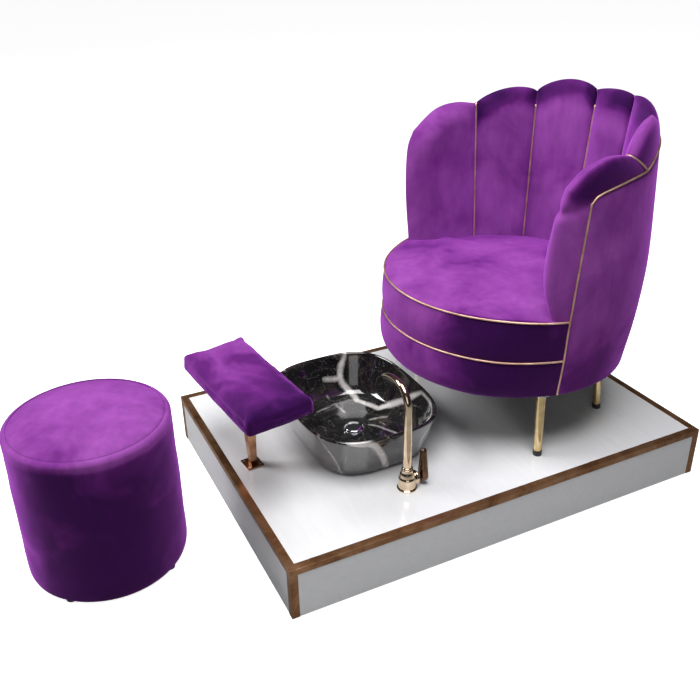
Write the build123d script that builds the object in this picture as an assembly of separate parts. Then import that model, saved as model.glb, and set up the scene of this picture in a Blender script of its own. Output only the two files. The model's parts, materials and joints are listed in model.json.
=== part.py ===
"""Pedicure spa chair: a low platform that carries a shell-back armchair, a vessel basin
with its mixer tap and a padded footrest, with a matching pouf in front of it.

Millimetres, +Z up, floor at Z = 0.  The sitter faces -Y, so the sitter's left hand is on +X.
The dimensions below are measured from the middle of the platform.  The finished nodes are
moved along Y by ORIGIN_SHIFT, so that the origin is the middle of the whole set's footprint.
"""
import os
from math import asin, atan, cos, degrees, pi, radians, sin, sqrt

from build123d import *

# ---------------------------------------------------------------- platform
PLATFORM_X = 870.0
PLATFORM_Y = 1250.0
TRIM_T = 1.5                   # sheet thickness of the angle trims
TRIM_FLANGE = 20.0             # width of the trim that lies on the deck
TRIM_DROP = 17.0               # width of the trim that hangs down the side
DECK_TOP = 146.5
DECK_T = 18.0
PANEL_T = 16.0
PANEL_BOTTOM = 3.0             # gap between the panels and the floor
RIB_T = 18.0
RIB_BOTTOM = 22.0
RIB_Y = (-430.0, -40.0, 185.0, 320.0, 520.0)
BLOCK = 40.0                   # section of the corner and side blocks
FOOT_R = 18.0
FOOT_H = 8.0
FOOT_STUD_R = 4.0
FOOT_STUD_TOP = 60.0
SCREW_R = 2.0
SCREW_HEAD_R = 4.5
SCREW_HEAD_H = 3.0
SCREW_L = 50.0

HALF_X = PLATFORM_X / 2 - TRIM_T
HALF_Y = PLATFORM_Y / 2 - TRIM_T
DECK_BOTTOM = DECK_TOP - DECK_T
INNER_X = HALF_X - PANEL_T
INNER_Y = HALF_Y - PANEL_T

# ---------------------------------------------------------------- basin and waste
BASIN_Y = -245.0
BASIN_H = 135.0
BASIN_HALF_X = 238.0
BASIN_HALF_Y = 188.0
BASIN_WALL = 11.0
BASIN_FLOOR = 18.0             # height of the bowl's floor above the deck
SQUARENESS = 3.2               # exponent of the rounded-square outline
DRAIN_R = 21.0                 # G1 1/4 waste thread
DRAIN_BORE_R = 17.0
DRAIN_FLANGE_R = 33.0
DRAIN_BOTTOM = 88.0
PLUG_R = 29.0
PLUG_STEM_R = 5.0
TRAP_R = 45.0
TRAP_TOP = 86.0
TRAP_BOTTOM = 14.0
PIPE_R = 20.0
PIPE_BORE_R = 18.0
PIPE_Z = 62.0
OUTLET_L = 30.0                # free length of the waste spigot behind the rear panel
OUTLET_BARREL_R = 24.0         # thicker barrel of the waste spigot inside the panel

# ---------------------------------------------------------------- mixer tap
TAP_X = 285.0
TAP_Y = -236.0
TAP_BASE_R = 26.0
TAP_BODY_R = 22.5
TAP_BODY_TOP = 206.0
SPOUT_SPIGOT_R = 9.0
SPOUT_SPIGOT_H = 12.0
SPOUT_BOTTOM_R = 12.0
SPOUT_TOP_R = 8.5
SPOUT_TIP_R = 6.5
SPOUT_RISE = 378.0             # height at which the spout starts to bend
SPOUT_BEND = 55.0              # radius of the spout's bend
SPOUT_REACH = 122.0
LEVER_Z = 172.0                # height of the cartridge's axis
CARTRIDGE_R = 14.0
CARTRIDGE_L = 20.0
CAP_R = 18.0
CAP_FACE = 27.0                # distance from the tap's axis to the cap's outer face
LEVER_GAP = 9.0
LEVER_HUB_R = 17.0
LEVER_TOP_R = 7.5
LEVER_T = 22.0
LEVER_EDGE = 6.5               # rounding of its faces' edges
LEVER_RISE = 72.0
STEM_R = 4.0
SHANK_R = 14.0
SHANK_BOTTOM = 92.0
HOSE_R = 6.0
HOSE_OFFSET = 6.8              # each hose's distance from the shank's axis
HOSE_GRIP = 16.0               # length of hose inside the shank
HOT_X = 262.0
COLD_X = 318.0
INLET_Z = 62.0
INLET_R = 10.48                # G1/2 male thread
INLET_L = 18.0                 # threaded length behind the rear panel
INLET_BARREL_R = 13.0          # thicker barrel that passes the rear panel

# ---------------------------------------------------------------- footrest
REST_Y = -552.0
REST_YAW = 5.5
REST_PLATE = (50.0, 46.0, 4.0)
POST_BOTTOM = (20.0, 16.0)
POST_TOP = (28.0, 34.0)
POST_TOP_Z = 368.0
SPIGOT_R = 8.0
SPIGOT_CLEAR = 0.05
SPIGOT_L = 45.0
GROOVE_Z = POST_TOP_Z - 30.0
GROOVE_R = 6.2
SWIVEL_PLATE = (110.0, 80.0, 4.0)
PAD_X = 404.0
PAD_Y = 182.0
PAD_BOTTOM = 372.0
PAD_TOP = 420.0
BOARD_T = 12.0
BOARD_INSET = 14.0

# ---------------------------------------------------------------- armchair
SEAT_Y = 270.0                 # centre of the round seat
SHELL_Y = 243.0                # centre of the round back shell
SEAT_R = 367.0
SEAT_BOTTOM = 442.3
SEAT_TOP = 578.0
SEAT_PIPING_Z = 556.0
BAND_BOTTOM = 335.5
BAND_R = 380.0
ARM_Y = 178.0                  # front edge of the shell
SHELL_R = 372.0                # widest radius of the shell
FRAME_R = 332.0                # outer radius of the seat frame, inner radius of the ply shell
PLY_T = 10.0
CHANNELS = 7
CHANNEL_FOOT_R = 268.0         # inner radius of the channels at the seat
CHANNEL_TOP_R = 302.0          # inner radius of the channels at the top
CHANNEL_BEND_Z = 575.0         # the channels' inner face leans back from this height
CHANNEL_STRAIGHT_Z = 940.0     # up to this one
CHANNEL_LIP_R = 355.0          # outer radius where the channels roll over the ply shell
CHANNEL_GAP = 0.5              # seam between neighbours, in degrees
SEAM_ANGLES = (15.3, 46.1, 75.4)             # seams above the X axis, from the arm to the back
VALLEY_Z = (913.0, 946.0, 980.0, 1000.0)     # top line at the shell's front edge and at those seams
SCALLOPS = (16.0, 24.0, 30.0, 12.0)          # rise of each channel's top above its seams' mean
ARM_BULGE = 52.0               # how far the arm channels' stuffing reaches past the shell's front edge
ARM_BULGE_Z = 915.0            # top of that stuffing
ARM_CORNER = 130.0             # its rounding in the side view
ARM_KNEE = 0.8                 # share of that rounding along the stuffing's top
ARM_BEND = (0.235, 0.37)       # middle of the rounding, as shares of it from the front and the top
ARM_INSET = 6.0                # the stuffing's half thickness is this much under the channels'
ARM_OUT = 4.0                  # and its middle this far outside theirs
ARM_SEAT_GAP = 0.6             # gap above the seat
CUT = 500.0                    # reach of a cutting block, past everything in its way
COVER_FRONT_Z = 860.6          # top edge of the outer cover at the arms
COVER_SLOPE = 12.1             # rise of that edge towards the back, in degrees
PIPING_R = 2.6
PIPING_GAP = 0.4               # between the seams' piping and the channels
SEAM_PIPING_LOW = 590.0        # lower end of the seams' piping
SEAM_PIPING_DROP = 45.0        # its upper end under the seam's top
EDGE_PIPING_INSET = 7.0        # piping of the cover's top edge, inside the shell's radius
EDGE_PIPING_LIFT = 3.0
EDGE_PIPING_START = 2.0        # degrees behind the shell's front edge
FRONT_PIPING_INSET = 4.0       # upright piping of the cover's front edges
FRONT_PIPING_LOW = 345.0
FRONT_PIPING_DROP = 22.0       # its upper end under the cover's top edge
LEG_PLATE_R = 26.0
LEG_PLATE_T = 3.5
LEG_FEET = ((319.0, 150.0), (204.0, 453.0))
LEG_SPLAY = 14.0               # how far a leg leans out from top to foot
LEG_TOP_R = 13.5
LEG_FOOT_R = 11.0
LEG_TOP_Z = 331.5
LEG_CAP_H = 14.0
LEG_BOLT_R = 4.0

# ---------------------------------------------------------------- pouf
POUF_X = 4.0
POUF_Y = -951.0
POUF_R = 198.0
POUF_TOP_R = 196.0
POUF_FRAME_R = 185.0
POUF_TOP = 440.0
POUF_SEAM_Z = 412.0
POUF_BOTTOM = 10.0

ORIGIN_SHIFT = (POUF_R - POUF_Y - (HALF_Y + OUTLET_L)) / 2


# ================================================================ helpers
def block(size, centre):
    """A box of the given size about a centre."""
    return Pos(*centre) * Box(*size)


def span(x0, x1, y0, y1, z0, z1):
    """A box between two corners."""
    return block((x1 - x0, y1 - y0, z1 - z0), ((x0 + x1) / 2, (y0 + y1) / 2, (z0 + z1) / 2))


def rod(radius, x, y, z0, z1):
    """An upright cylinder between two heights."""
    return Pos(x, y, (z0 + z1) / 2) * Cylinder(radius, z1 - z0)


def rod_y(radius, x, y0, y1, z):
    """A cylinder along Y."""
    return Pos(x, (y0 + y1) / 2, z) * Rot(90, 0, 0) * Cylinder(radius, y1 - y0)


def ring(outer, inner, x, y, z0, z1):
    """An upright tube between two heights."""
    return rod(outer, x, y, z0, z1) - rod(inner, x, y, z0 - 1, z1 + 1)


def group(shapes):
    """Separate solids that share one node."""
    return Compound(children=list(shapes))


def turned(profile, x, y, start, sweep):
    """A profile drawn as (radius, height) points and turned about an upright axis."""
    points = [(r, 0, z) for r, z in profile]
    face = make_face(Polyline(*points, close=True))
    return Pos(x, y, 0) * Rot(0, 0, start) * revolve(face, Axis.Z, sweep)


def save(shape, node):
    """Move one node into the frame of the whole set and write it."""
    solids = [Pos(0, ORIGIN_SHIFT, 0) * solid for solid in shape.solids()]
    placed = solids[0] if len(solids) == 1 else group(solids)
    placed.label = node
    export_step(placed, f"parts/{node}.step")


# ================================================================ platform
def side_blocks():
    """Centres of the blocks that tie the long panels to the deck."""
    x = INNER_X - BLOCK / 2
    return [(s * x, y) for s in (-1, 1) for y in (-INNER_Y + BLOCK / 2, 60.0, INNER_Y - BLOCK / 2)]


def panel_screw_solids():
    """Two screws through each block into the side panel."""
    screws = []
    for x, y in side_blocks():
        out = 1 if x > 0 else -1
        for z in (80.0, 110.0):
            face = x - out * BLOCK / 2
            shank = Pos(face + out * SCREW_L / 2, y, z) * Rot(0, 90, 0) * Cylinder(SCREW_R, SCREW_L)
            head_centre = face - out * SCREW_HEAD_H / 2
            head = Pos(head_centre, y, z) * Rot(0, 90, 0) * Cylinder(SCREW_HEAD_R, SCREW_HEAD_H)
            screws.append(shank + head)
    return screws


def deck_panel():
    """Laminated board with the holes for the waste, the tap, the footrest and the chair."""
    deck = span(-HALF_X, HALF_X, -HALF_Y, HALF_Y, DECK_BOTTOM, DECK_TOP)
    deck -= rod(26.0, 0, BASIN_Y, DECK_BOTTOM - 1, DECK_TOP + 1)
    deck -= rod(SHANK_R + 2, TAP_X, TAP_Y, DECK_BOTTOM - 1, DECK_TOP + 1)
    for x, y in leg_places():
        deck -= rod(LEG_BOLT_R, x, y, DECK_BOTTOM - 1, DECK_TOP + 1)
    for screw in footrest_screw_solids():
        deck -= screw
    return deck


def side_panel(side):
    """Long panel under the deck, with the screws' pilot holes."""
    inner, outer = sorted((side * INNER_X, side * HALF_X))
    panel = span(inner, outer, -HALF_Y, HALF_Y, PANEL_BOTTOM, DECK_BOTTOM)
    for screw in panel_screw_solids():
        panel -= screw
    return panel


def front_panel():
    """Short panel under the sitter's end of the deck that faces the pouf."""
    return span(-INNER_X, INNER_X, -HALF_Y, -INNER_Y, PANEL_BOTTOM, DECK_BOTTOM)


def rear_panel():
    """Short panel behind the chair, bored for the waste and the two supplies."""
    panel = span(-INNER_X, INNER_X, INNER_Y, HALF_Y, PANEL_BOTTOM, DECK_BOTTOM)
    panel -= rod_y(OUTLET_BARREL_R, 0, INNER_Y - 1, HALF_Y + 1, PIPE_Z)
    for x in (HOT_X, COLD_X):
        panel -= rod_y(INLET_BARREL_R, x, INNER_Y - 1, HALF_Y + 1, INLET_Z)
    return panel


def cross_ribs():
    """Ribs under the deck, with passages for the waste pipe and the hoses."""
    rib = span(-INNER_X, INNER_X, -RIB_T / 2, RIB_T / 2, RIB_BOTTOM, DECK_BOTTOM)
    rib -= rod_y(PIPE_R + 4, 0, -RIB_T, RIB_T, PIPE_Z)
    for x in (HOT_X, COLD_X):
        rib -= rod_y(HOSE_R + 8, x, -RIB_T, RIB_T, INLET_Z)
    return group(Pos(0, y, 0) * rib for y in RIB_Y)


def foot_blocks():
    """Timber blocks in the corners and half way along, bored for the feet's studs."""
    blocks = []
    for x, y in side_blocks():
        piece = block((BLOCK, BLOCK, DECK_BOTTOM - RIB_BOTTOM), (x, y, (DECK_BOTTOM + RIB_BOTTOM) / 2))
        piece -= rod(FOOT_STUD_R, x, y, RIB_BOTTOM - 1, FOOT_STUD_TOP)
        for screw in panel_screw_solids():
            piece -= screw
        blocks.append(piece)
    return group(blocks)


def levelling_feet():
    """Screw-in feet that the platform stands on."""
    feet = []
    for x, y in side_blocks():
        feet.append(rod(FOOT_R, x, y, 0, FOOT_H) + rod(FOOT_STUD_R, x, y, FOOT_H, FOOT_STUD_TOP))
    return group(feet)


def edge_trim(length):
    """Angle trim along +X with its outer corner on the line Y = 0, Z = 0, mitred at both ends."""
    angle = span(-length / 2, length / 2, 0, TRIM_FLANGE, -TRIM_T, 0)
    angle += span(-length / 2, length / 2, 0, TRIM_T, -TRIM_DROP, 0)
    reach = 2 * TRIM_FLANGE
    for end in (-1, 1):
        corner = Polyline((end * length / 2, 0), (end * (length / 2 - reach), reach),
                          (end * (length / 2 + reach), reach), (end * (length / 2 + reach), 0),
                          close=True)
        angle -= Pos(0, 0, -reach) * extrude(make_face(corner), 2 * reach)
    return angle


def edge_trims(length, distance, turn):
    """A pair of trims on opposite edges of the deck."""
    trims = []
    for half_turn in (0, 180):
        place = Rot(0, 0, turn + half_turn) * Pos(0, -distance, DECK_TOP + TRIM_T)
        trims.append(place * edge_trim(length))
    return group(trims)


def corner_trims():
    """Upright angle trims on the four corners, below the edge trims."""
    top = DECK_TOP + TRIM_T - TRIM_DROP
    trims = []
    for sx in (-1, 1):
        for sy in (-1, 1):
            x0, x1 = sorted((sx * PLATFORM_X / 2, sx * (PLATFORM_X / 2 - TRIM_FLANGE)))
            y0, y1 = sorted((sy * PLATFORM_Y / 2, sy * (PLATFORM_Y / 2 - TRIM_FLANGE)))
            angle = span(x0, x1, y0, y1, PANEL_BOTTOM, top)
            angle -= span(x0 - sx * TRIM_T, x1 - sx * TRIM_T, y0 - sy * TRIM_T, y1 - sy * TRIM_T, 0, top + 1)
            trims.append(angle)
    return group(trims)


# ================================================================ basin and waste
def rounded_square(half_x, half_y, z):
    """Closed outline |x/a|^n + |y/b|^n = 1 about the basin's centre."""
    points = []
    for i in range(32):
        t = 2 * pi * i / 32
        cx, cy = cos(t), sin(t)
        x = half_x * abs(cx) ** (2 / SQUARENESS) * (1 if cx >= 0 else -1)
        y = half_y * abs(cy) ** (2 / SQUARENESS) * (1 if cy >= 0 else -1)
        points.append((x, BASIN_Y + y, DECK_TOP + z))
    return make_face(Spline(*points, periodic=True))


def basin_bowl():
    """Vessel basin that stands on the deck: a flared rounded-square bowl with a waste hole."""
    outside = ((-58, 0.0), (-46, 8.0), (-30, 45.0), (-12, 95.0), (0, BASIN_H))
    outer = loft([rounded_square(BASIN_HALF_X + d, BASIN_HALF_Y + d * 0.7, z) for d, z in outside])
    inside = ((-92, BASIN_FLOOR), (-62, BASIN_FLOOR + 8), (-43, 50.0), (-24, 97.0), (-BASIN_WALL, BASIN_H + 1))
    inner = loft([rounded_square(BASIN_HALF_X + d, BASIN_HALF_Y + d * 0.8, z) for d, z in inside])
    bowl = outer - inner
    bowl -= rod(DRAIN_R + 1.5, 0, BASIN_Y, DECK_TOP - 1, DECK_TOP + BASIN_FLOOR + 2)
    return bowl


def basin_seal():
    """Rubber ring in the bowl's waste hole."""
    return ring(DRAIN_R + 1.5, DRAIN_R, 0, BASIN_Y, DECK_TOP, DECK_TOP + BASIN_FLOOR)


def drain_flange():
    """Threaded waste body: a flange on the bowl's floor and a tube through the deck."""
    floor = DECK_TOP + BASIN_FLOOR
    body = rod(DRAIN_FLANGE_R, 0, BASIN_Y, floor, floor + 2.5)
    body += rod(DRAIN_R, 0, BASIN_Y, DRAIN_BOTTOM, floor)
    body -= rod(DRAIN_BORE_R, 0, BASIN_Y, DRAIN_BOTTOM - 1, floor + 3)
    spider = span(-DRAIN_BORE_R - 1, DRAIN_BORE_R + 1, BASIN_Y - 4, BASIN_Y + 4, floor - 26, floor - 20)
    hub = rod(PLUG_STEM_R + 3, 0, BASIN_Y, floor - 26, floor - 12)
    bore = rod(PLUG_STEM_R + 0.05, 0, BASIN_Y, floor - 27, floor - 11)
    return body + (spider + hub) - bore


def drain_plug():
    """Domed pop-up plug with its guide stem, shut."""
    floor = DECK_TOP + BASIN_FLOOR + 2.5
    dome = turned([(0, 0.4), (PLUG_R, 0.4), (PLUG_R, 3.0), (18.0, 7.0), (0, 8.6)], 0, BASIN_Y, 0, 360)
    stem = rod(PLUG_STEM_R, 0, BASIN_Y, floor - 34, floor + 2)
    return Pos(0, 0, floor) * dome + stem


def drain_washer():
    """Rubber washer under the deck."""
    return ring(34.0, DRAIN_R, 0, BASIN_Y, DECK_BOTTOM - 3, DECK_BOTTOM)


def drain_nut():
    """Hexagonal backnut that clamps the waste and the bowl to the deck."""
    nut = Pos(0, BASIN_Y, DECK_BOTTOM - 15) * extrude(RegularPolygon(30.0, 6), 12.0)
    return nut - rod(DRAIN_R, 0, BASIN_Y, DECK_BOTTOM - 16, DECK_BOTTOM - 2)


def trap_body():
    """Low cup trap: the waste dips into the cup, and the outlet leaves above its floor."""
    wall = 3.0
    cup = rod(TRAP_R, 0, BASIN_Y, TRAP_BOTTOM, TRAP_TOP) + rod(27.0, 0, BASIN_Y, TRAP_TOP, TRAP_TOP + 18)
    cup += rod_y(PIPE_R + wall, 0, BASIN_Y, BASIN_Y + TRAP_R + 24, PIPE_Z)
    cup -= rod(TRAP_R - wall, 0, BASIN_Y, TRAP_BOTTOM + wall, TRAP_TOP - wall)
    cup -= rod(DRAIN_R, 0, BASIN_Y, TRAP_TOP - wall - 1, TRAP_TOP + 19)
    cup -= rod_y(PIPE_R, 0, BASIN_Y + TRAP_R - 6, BASIN_Y + TRAP_R + 25, PIPE_Z)
    return cup


def drain_pipe():
    """Straight waste pipe from the trap through the ribs to the rear panel."""
    start = BASIN_Y + TRAP_R + 2
    end = INNER_Y - 12
    return rod_y(PIPE_R, 0, start, end, PIPE_Z) - rod_y(PIPE_BORE_R, 0, start - 1, end + 1, PIPE_Z)


def drain_outlet():
    """Bulkhead spigot in the rear panel for the building's waste pipe."""
    end = HALF_Y + OUTLET_L
    body = rod_y(PIPE_R, 0, HALF_Y, end, PIPE_Z) + rod_y(OUTLET_BARREL_R, 0, INNER_Y - 12, HALF_Y, PIPE_Z)
    body += rod_y(OUTLET_BARREL_R + 6, 0, INNER_Y - 4, INNER_Y, PIPE_Z)
    return body - rod_y(PIPE_BORE_R, 0, INNER_Y - 13, end + 1, PIPE_Z)


# ================================================================ mixer tap
def faucet_base_ring():
    """Escutcheon between the tap's body and the deck."""
    profile = [(0, 0), (TAP_BASE_R, 0), (TAP_BASE_R, 3), (TAP_BASE_R - 2.5, 5), (0, 5)]
    return Pos(0, 0, DECK_TOP) * turned(profile, TAP_X, TAP_Y, 0, 360) - tap_shank()


def tap_shank():
    """Threaded tail below the body."""
    return rod(SHANK_R, TAP_X, TAP_Y, SHANK_BOTTOM, DECK_TOP + 5)


def faucet_body():
    """Cast body: bell-shaped foot, cartridge boss on +Y, spigot for the spout, shank below."""
    foot = DECK_TOP + 5
    profile = [(0, foot), (TAP_BODY_R, foot), (TAP_BODY_R, foot + 26), (TAP_BODY_R - 2, foot + 34),
               (14.5, TAP_BODY_TOP - 6), (14.5, TAP_BODY_TOP), (0, TAP_BODY_TOP)]
    body = turned(profile, TAP_X, TAP_Y, 0, 360)
    body += rod_y(CAP_R, TAP_X, TAP_Y, TAP_Y + CAP_FACE - 4, LEVER_Z)
    body += rod(SPOUT_SPIGOT_R, TAP_X, TAP_Y, TAP_BODY_TOP, TAP_BODY_TOP + SPOUT_SPIGOT_H)
    body += tap_shank()
    body -= rod_y(CARTRIDGE_R, TAP_X, TAP_Y + CAP_FACE - 4 - CARTRIDGE_L, TAP_Y + CAP_FACE, LEVER_Z)
    for side in (-1, 1):
        body -= rod(HOSE_R, TAP_X + side * HOSE_OFFSET, TAP_Y, SHANK_BOTTOM - 1, SHANK_BOTTOM + HOSE_GRIP)
    return body


def cartridge_housing():
    """Ceramic-disc cartridge's case, in the boss, with a round seat for the rotor."""
    inner = TAP_Y + CAP_FACE - 4 - CARTRIDGE_L
    case = rod_y(CARTRIDGE_R, TAP_X, inner, inner + CARTRIDGE_L, LEVER_Z)
    return case - rod_y(9.0, TAP_X, inner + 6, inner + CARTRIDGE_L + 1, LEVER_Z)


def cartridge_rotor():
    """Turning part of the cartridge: a cup that carries the lever's pivot pin."""
    inner = TAP_Y + CAP_FACE - 4 - CARTRIDGE_L + 6.1
    rotor = rod_y(8.95, TAP_X, inner, inner + 15.0, LEVER_Z)
    slot = span(TAP_X - STEM_R - 0.1, TAP_X + STEM_R + 0.1, inner + 1.5, inner + 16,
                LEVER_Z - 8.2, LEVER_Z + 8.2)
    pin = Pos(TAP_X, inner + 7.5, LEVER_Z) * Rot(0, 90, 0) * Cylinder(1.5, 2 * STEM_R + 4)
    return rotor - slot + pin


def lever_pivot_y():
    """Place of the lever's pivot pin along Y."""
    return TAP_Y + CAP_FACE - 4 - CARTRIDGE_L + 6.1 + 7.5


def cartridge_cap():
    """Screwed ring that holds the cartridge in the boss."""
    face = TAP_Y + CAP_FACE
    cap = rod_y(CAP_R, TAP_X, face - 4, face, LEVER_Z)
    return cap - rod_y(11.5, TAP_X, face - 5, face + 1, LEVER_Z)


def lever_stem():
    """Spindle from the pivot pin out to the lever."""
    start = lever_pivot_y() - 3.0
    end = TAP_Y + CAP_FACE + LEVER_GAP
    stem = rod_y(STEM_R - 0.05, TAP_X, start, end, LEVER_Z)
    return stem - Pos(TAP_X, lever_pivot_y(), LEVER_Z) * Rot(0, 90, 0) * Cylinder(1.55, 3 * STEM_R)


def lever_handle():
    """Plump teardrop lever: a round hub that narrows to its top, on the end of the spindle."""
    base = TAP_Y + CAP_FACE + LEVER_GAP
    lean = asin((LEVER_HUB_R - LEVER_TOP_R) / LEVER_RISE)
    hub_x, hub_z = LEVER_HUB_R * cos(lean), LEVER_HUB_R * sin(lean)
    tip_x, tip_z = LEVER_TOP_R * cos(lean), LEVER_RISE + LEVER_TOP_R * sin(lean)
    left = Line((-hub_x, hub_z), (-tip_x, tip_z))
    top = ThreePointArc((-tip_x, tip_z), (0, LEVER_RISE + LEVER_TOP_R), (tip_x, tip_z))
    right = Line((tip_x, tip_z), (hub_x, hub_z))
    bottom = ThreePointArc((hub_x, hub_z), (0, -LEVER_HUB_R), (-hub_x, hub_z))
    blade = extrude(make_face([left, top, right, bottom]), LEVER_T)
    blade = fillet(blade.edges().filter_by(Plane.XY), LEVER_EDGE)
    return Pos(TAP_X, base + LEVER_T, LEVER_Z) * Rot(90, 0, 0) * blade


def spout_path():
    """Centre line of the spout, which leans over the basin towards -X."""
    bend_top = SPOUT_RISE + SPOUT_BEND
    rise = Line((TAP_X, TAP_Y, TAP_BODY_TOP + 0.3), (TAP_X, TAP_Y, SPOUT_RISE))
    corner = SPOUT_BEND * sin(radians(45))
    bend = ThreePointArc((TAP_X, TAP_Y, SPOUT_RISE), (TAP_X - SPOUT_BEND + corner, TAP_Y, SPOUT_RISE + corner),
                         (TAP_X - SPOUT_BEND, TAP_Y, bend_top))
    droop = SPOUT_REACH - SPOUT_BEND
    fall = 18.0
    radius = (droop ** 2 + fall ** 2) / (2 * fall)
    half = asin(droop / radius) / 2
    middle = (TAP_X - SPOUT_BEND - radius * sin(half), TAP_Y, bend_top - radius + radius * cos(half))
    end = ThreePointArc((TAP_X - SPOUT_BEND, TAP_Y, bend_top), middle,
                        (TAP_X - SPOUT_REACH, TAP_Y, bend_top - fall))
    return [rise, bend, end]


def spout_tube():
    """Swan-neck spout in three stretches that step down in bore, socketed on the body's spigot."""
    rise, bend, end = spout_path()
    foot = rise @ 0
    neck = Pos(TAP_X, TAP_Y, (foot.Z + SPOUT_RISE) / 2) * Cone(SPOUT_BOTTOM_R, SPOUT_TOP_R, SPOUT_RISE - foot.Z)
    curve = sweep(Plane(bend @ 0, z_dir=bend % 0) * Circle(SPOUT_TOP_R), bend)
    tail = sweep(Plane(end @ 0, z_dir=end % 0) * Circle(SPOUT_TOP_R), end)
    tube = neck + curve + tail
    socket = rod(SPOUT_SPIGOT_R + 0.05, TAP_X, TAP_Y, foot.Z - 1, foot.Z + SPOUT_SPIGOT_H + 0.5)
    return tube - socket


def aerator():
    """Outlet insert on the end of the spout."""
    end = spout_path()[2]
    return Plane(end @ 1, z_dir=end % 1) * Pos(0, 0, 2.0) * Cylinder(SPOUT_TIP_R, 4.0)


def faucet_nut():
    """Backnut and washer that clamp the tap under the deck."""
    nut = Pos(TAP_X, TAP_Y, DECK_BOTTOM - 12) * extrude(RegularPolygon(22.0, 6), 10.0)
    nut += rod(24.0, TAP_X, TAP_Y, DECK_BOTTOM - 2, DECK_BOTTOM)
    return nut - rod(SHANK_R, TAP_X, TAP_Y, DECK_BOTTOM - 13, DECK_BOTTOM + 1)


def hose_route(side, inlet_x):
    """Points of a braided hose from the tap's tail to its inlet, inside the platform."""
    start_x = TAP_X + side * HOSE_OFFSET
    return [(start_x, TAP_Y, SHANK_BOTTOM + HOSE_GRIP),
            (start_x, TAP_Y, 68),
            (start_x + side * 2, TAP_Y + 34, 42),
            (start_x + side * 7, TAP_Y + 90, 38),
            (inlet_x - side * 4, TAP_Y + 150, 48),
            (inlet_x, TAP_Y + 210, 60),
            (inlet_x + side * 3, TAP_Y + 320, INLET_Z - 1),
            (inlet_x - side * 2, TAP_Y + 440, INLET_Z + 1),
            (inlet_x + side * 2, TAP_Y + 560, INLET_Z - 1),
            (inlet_x - side * 1, TAP_Y + 680, INLET_Z + 1),
            (inlet_x, TAP_Y + 752, INLET_Z),
            (inlet_x, INNER_Y - 22, INLET_Z)]


def largest_radii(points):
    """For each corner, 0.45 of the shorter run divided by the tangent of half the turn."""
    radii = []
    for before, here, after in zip(points, points[1:], points[2:]):
        first = Vector(*here) - Vector(*before)
        second = Vector(*after) - Vector(*here)
        half = radians(first.get_angle(second)) / 2
        radii.append(0.45 * min(first.length, second.length) / (sin(half) / cos(half)))
    return radii


def hose(side, inlet_x):
    """Braided supply hose as straight runs joined by tangent arcs."""
    points = hose_route(side, inlet_x)
    radii = largest_radii(points)
    path = FilletPolyline(*points, radius=radii)
    print("hose radii", [round(r) for r in radii], "length", round(path.length))
    return sweep(Plane(path @ 0, z_dir=path % 0) * Circle(HOSE_R), path)


def supply_inlet(x):
    """Bulkhead nipple: a barrel through the rear panel, then a G1/2 male thread."""
    end = HALF_Y + INLET_L
    body = rod_y(INLET_BARREL_R, x, INNER_Y - 22, HALF_Y, INLET_Z) + rod_y(INLET_R, x, HALF_Y, end, INLET_Z)
    body += rod_y(INLET_BARREL_R + 4, x, INNER_Y - 6, INNER_Y, INLET_Z)
    return body - rod_y(7.0, x, INNER_Y - 10, end + 1, INLET_Z)


# ================================================================ footrest
def rest_frame(shape):
    """Move a shape drawn about the origin to the footrest's post."""
    return Pos(0, REST_Y, 0) * Rot(0, 0, REST_YAW) * shape


def footrest_screw_solids():
    """Countersunk screws through the post's foot into the deck."""
    plate_top = DECK_TOP + REST_PLATE[2]
    screws = []
    for sx in (-1, 1):
        for sy in (-1, 1):
            x, y = sx * (REST_PLATE[0] / 2 - 7), sy * (REST_PLATE[1] / 2 - 7)
            shank = rod(1.8, x, y, DECK_TOP - 15, plate_top - 2)
            head = Pos(x, y, plate_top - 1) * Cone(1.8, 3.8, 2.0)
            screws.append(rest_frame(shank + head))
    return screws


def footrest_post():
    """Welded post: a foot plate and a square post that widens to its top, bored for the spigot."""
    foot_top = DECK_TOP + REST_PLATE[2]
    plate = block(REST_PLATE, (0, 0, DECK_TOP + REST_PLATE[2] / 2))
    bottom = Plane(origin=(0, 2, foot_top)) * Rectangle(*POST_BOTTOM)
    top = Plane(origin=(0, -2, POST_TOP_Z)) * Rectangle(*POST_TOP)
    post = rest_frame(plate + loft([bottom, top]))
    post -= rest_frame(rod(SPIGOT_R + SPIGOT_CLEAR, 0, 0, POST_TOP_Z - SPIGOT_L - 1, POST_TOP_Z + 1))
    post -= swivel_screw()
    for screw in footrest_screw_solids():
        post -= screw
    return post


def swivel_screw():
    """Grub screw in the post that keeps the spigot from lifting out."""
    return rest_frame(rod_y(2.5, 0, -24.0, -GROOVE_R - 0.3, GROOVE_Z))


def footrest_plate():
    """Steel plate under the pad with the spigot that turns in the post."""
    z = PAD_BOTTOM - SWIVEL_PLATE[2] / 2
    plate = block((SWIVEL_PLATE[0], SWIVEL_PLATE[1], SWIVEL_PLATE[2] - 0.1), (0, 0, z + 0.05))
    spigot = rod(SPIGOT_R, 0, 0, POST_TOP_Z - SPIGOT_L, POST_TOP_Z + 1)
    spigot -= ring(SPIGOT_R + 1, GROOVE_R, 0, 0, GROOVE_Z - 3.2, GROOVE_Z + 3.2)
    return rest_frame(plate + spigot)


def footrest_board():
    """Plywood board inside the underside of the pad."""
    x, y = PAD_X - 2 * BOARD_INSET, PAD_Y - 2 * BOARD_INSET
    return rest_frame(block((x, y, BOARD_T), (0, 0, PAD_BOTTOM + BOARD_T / 2)))


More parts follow.
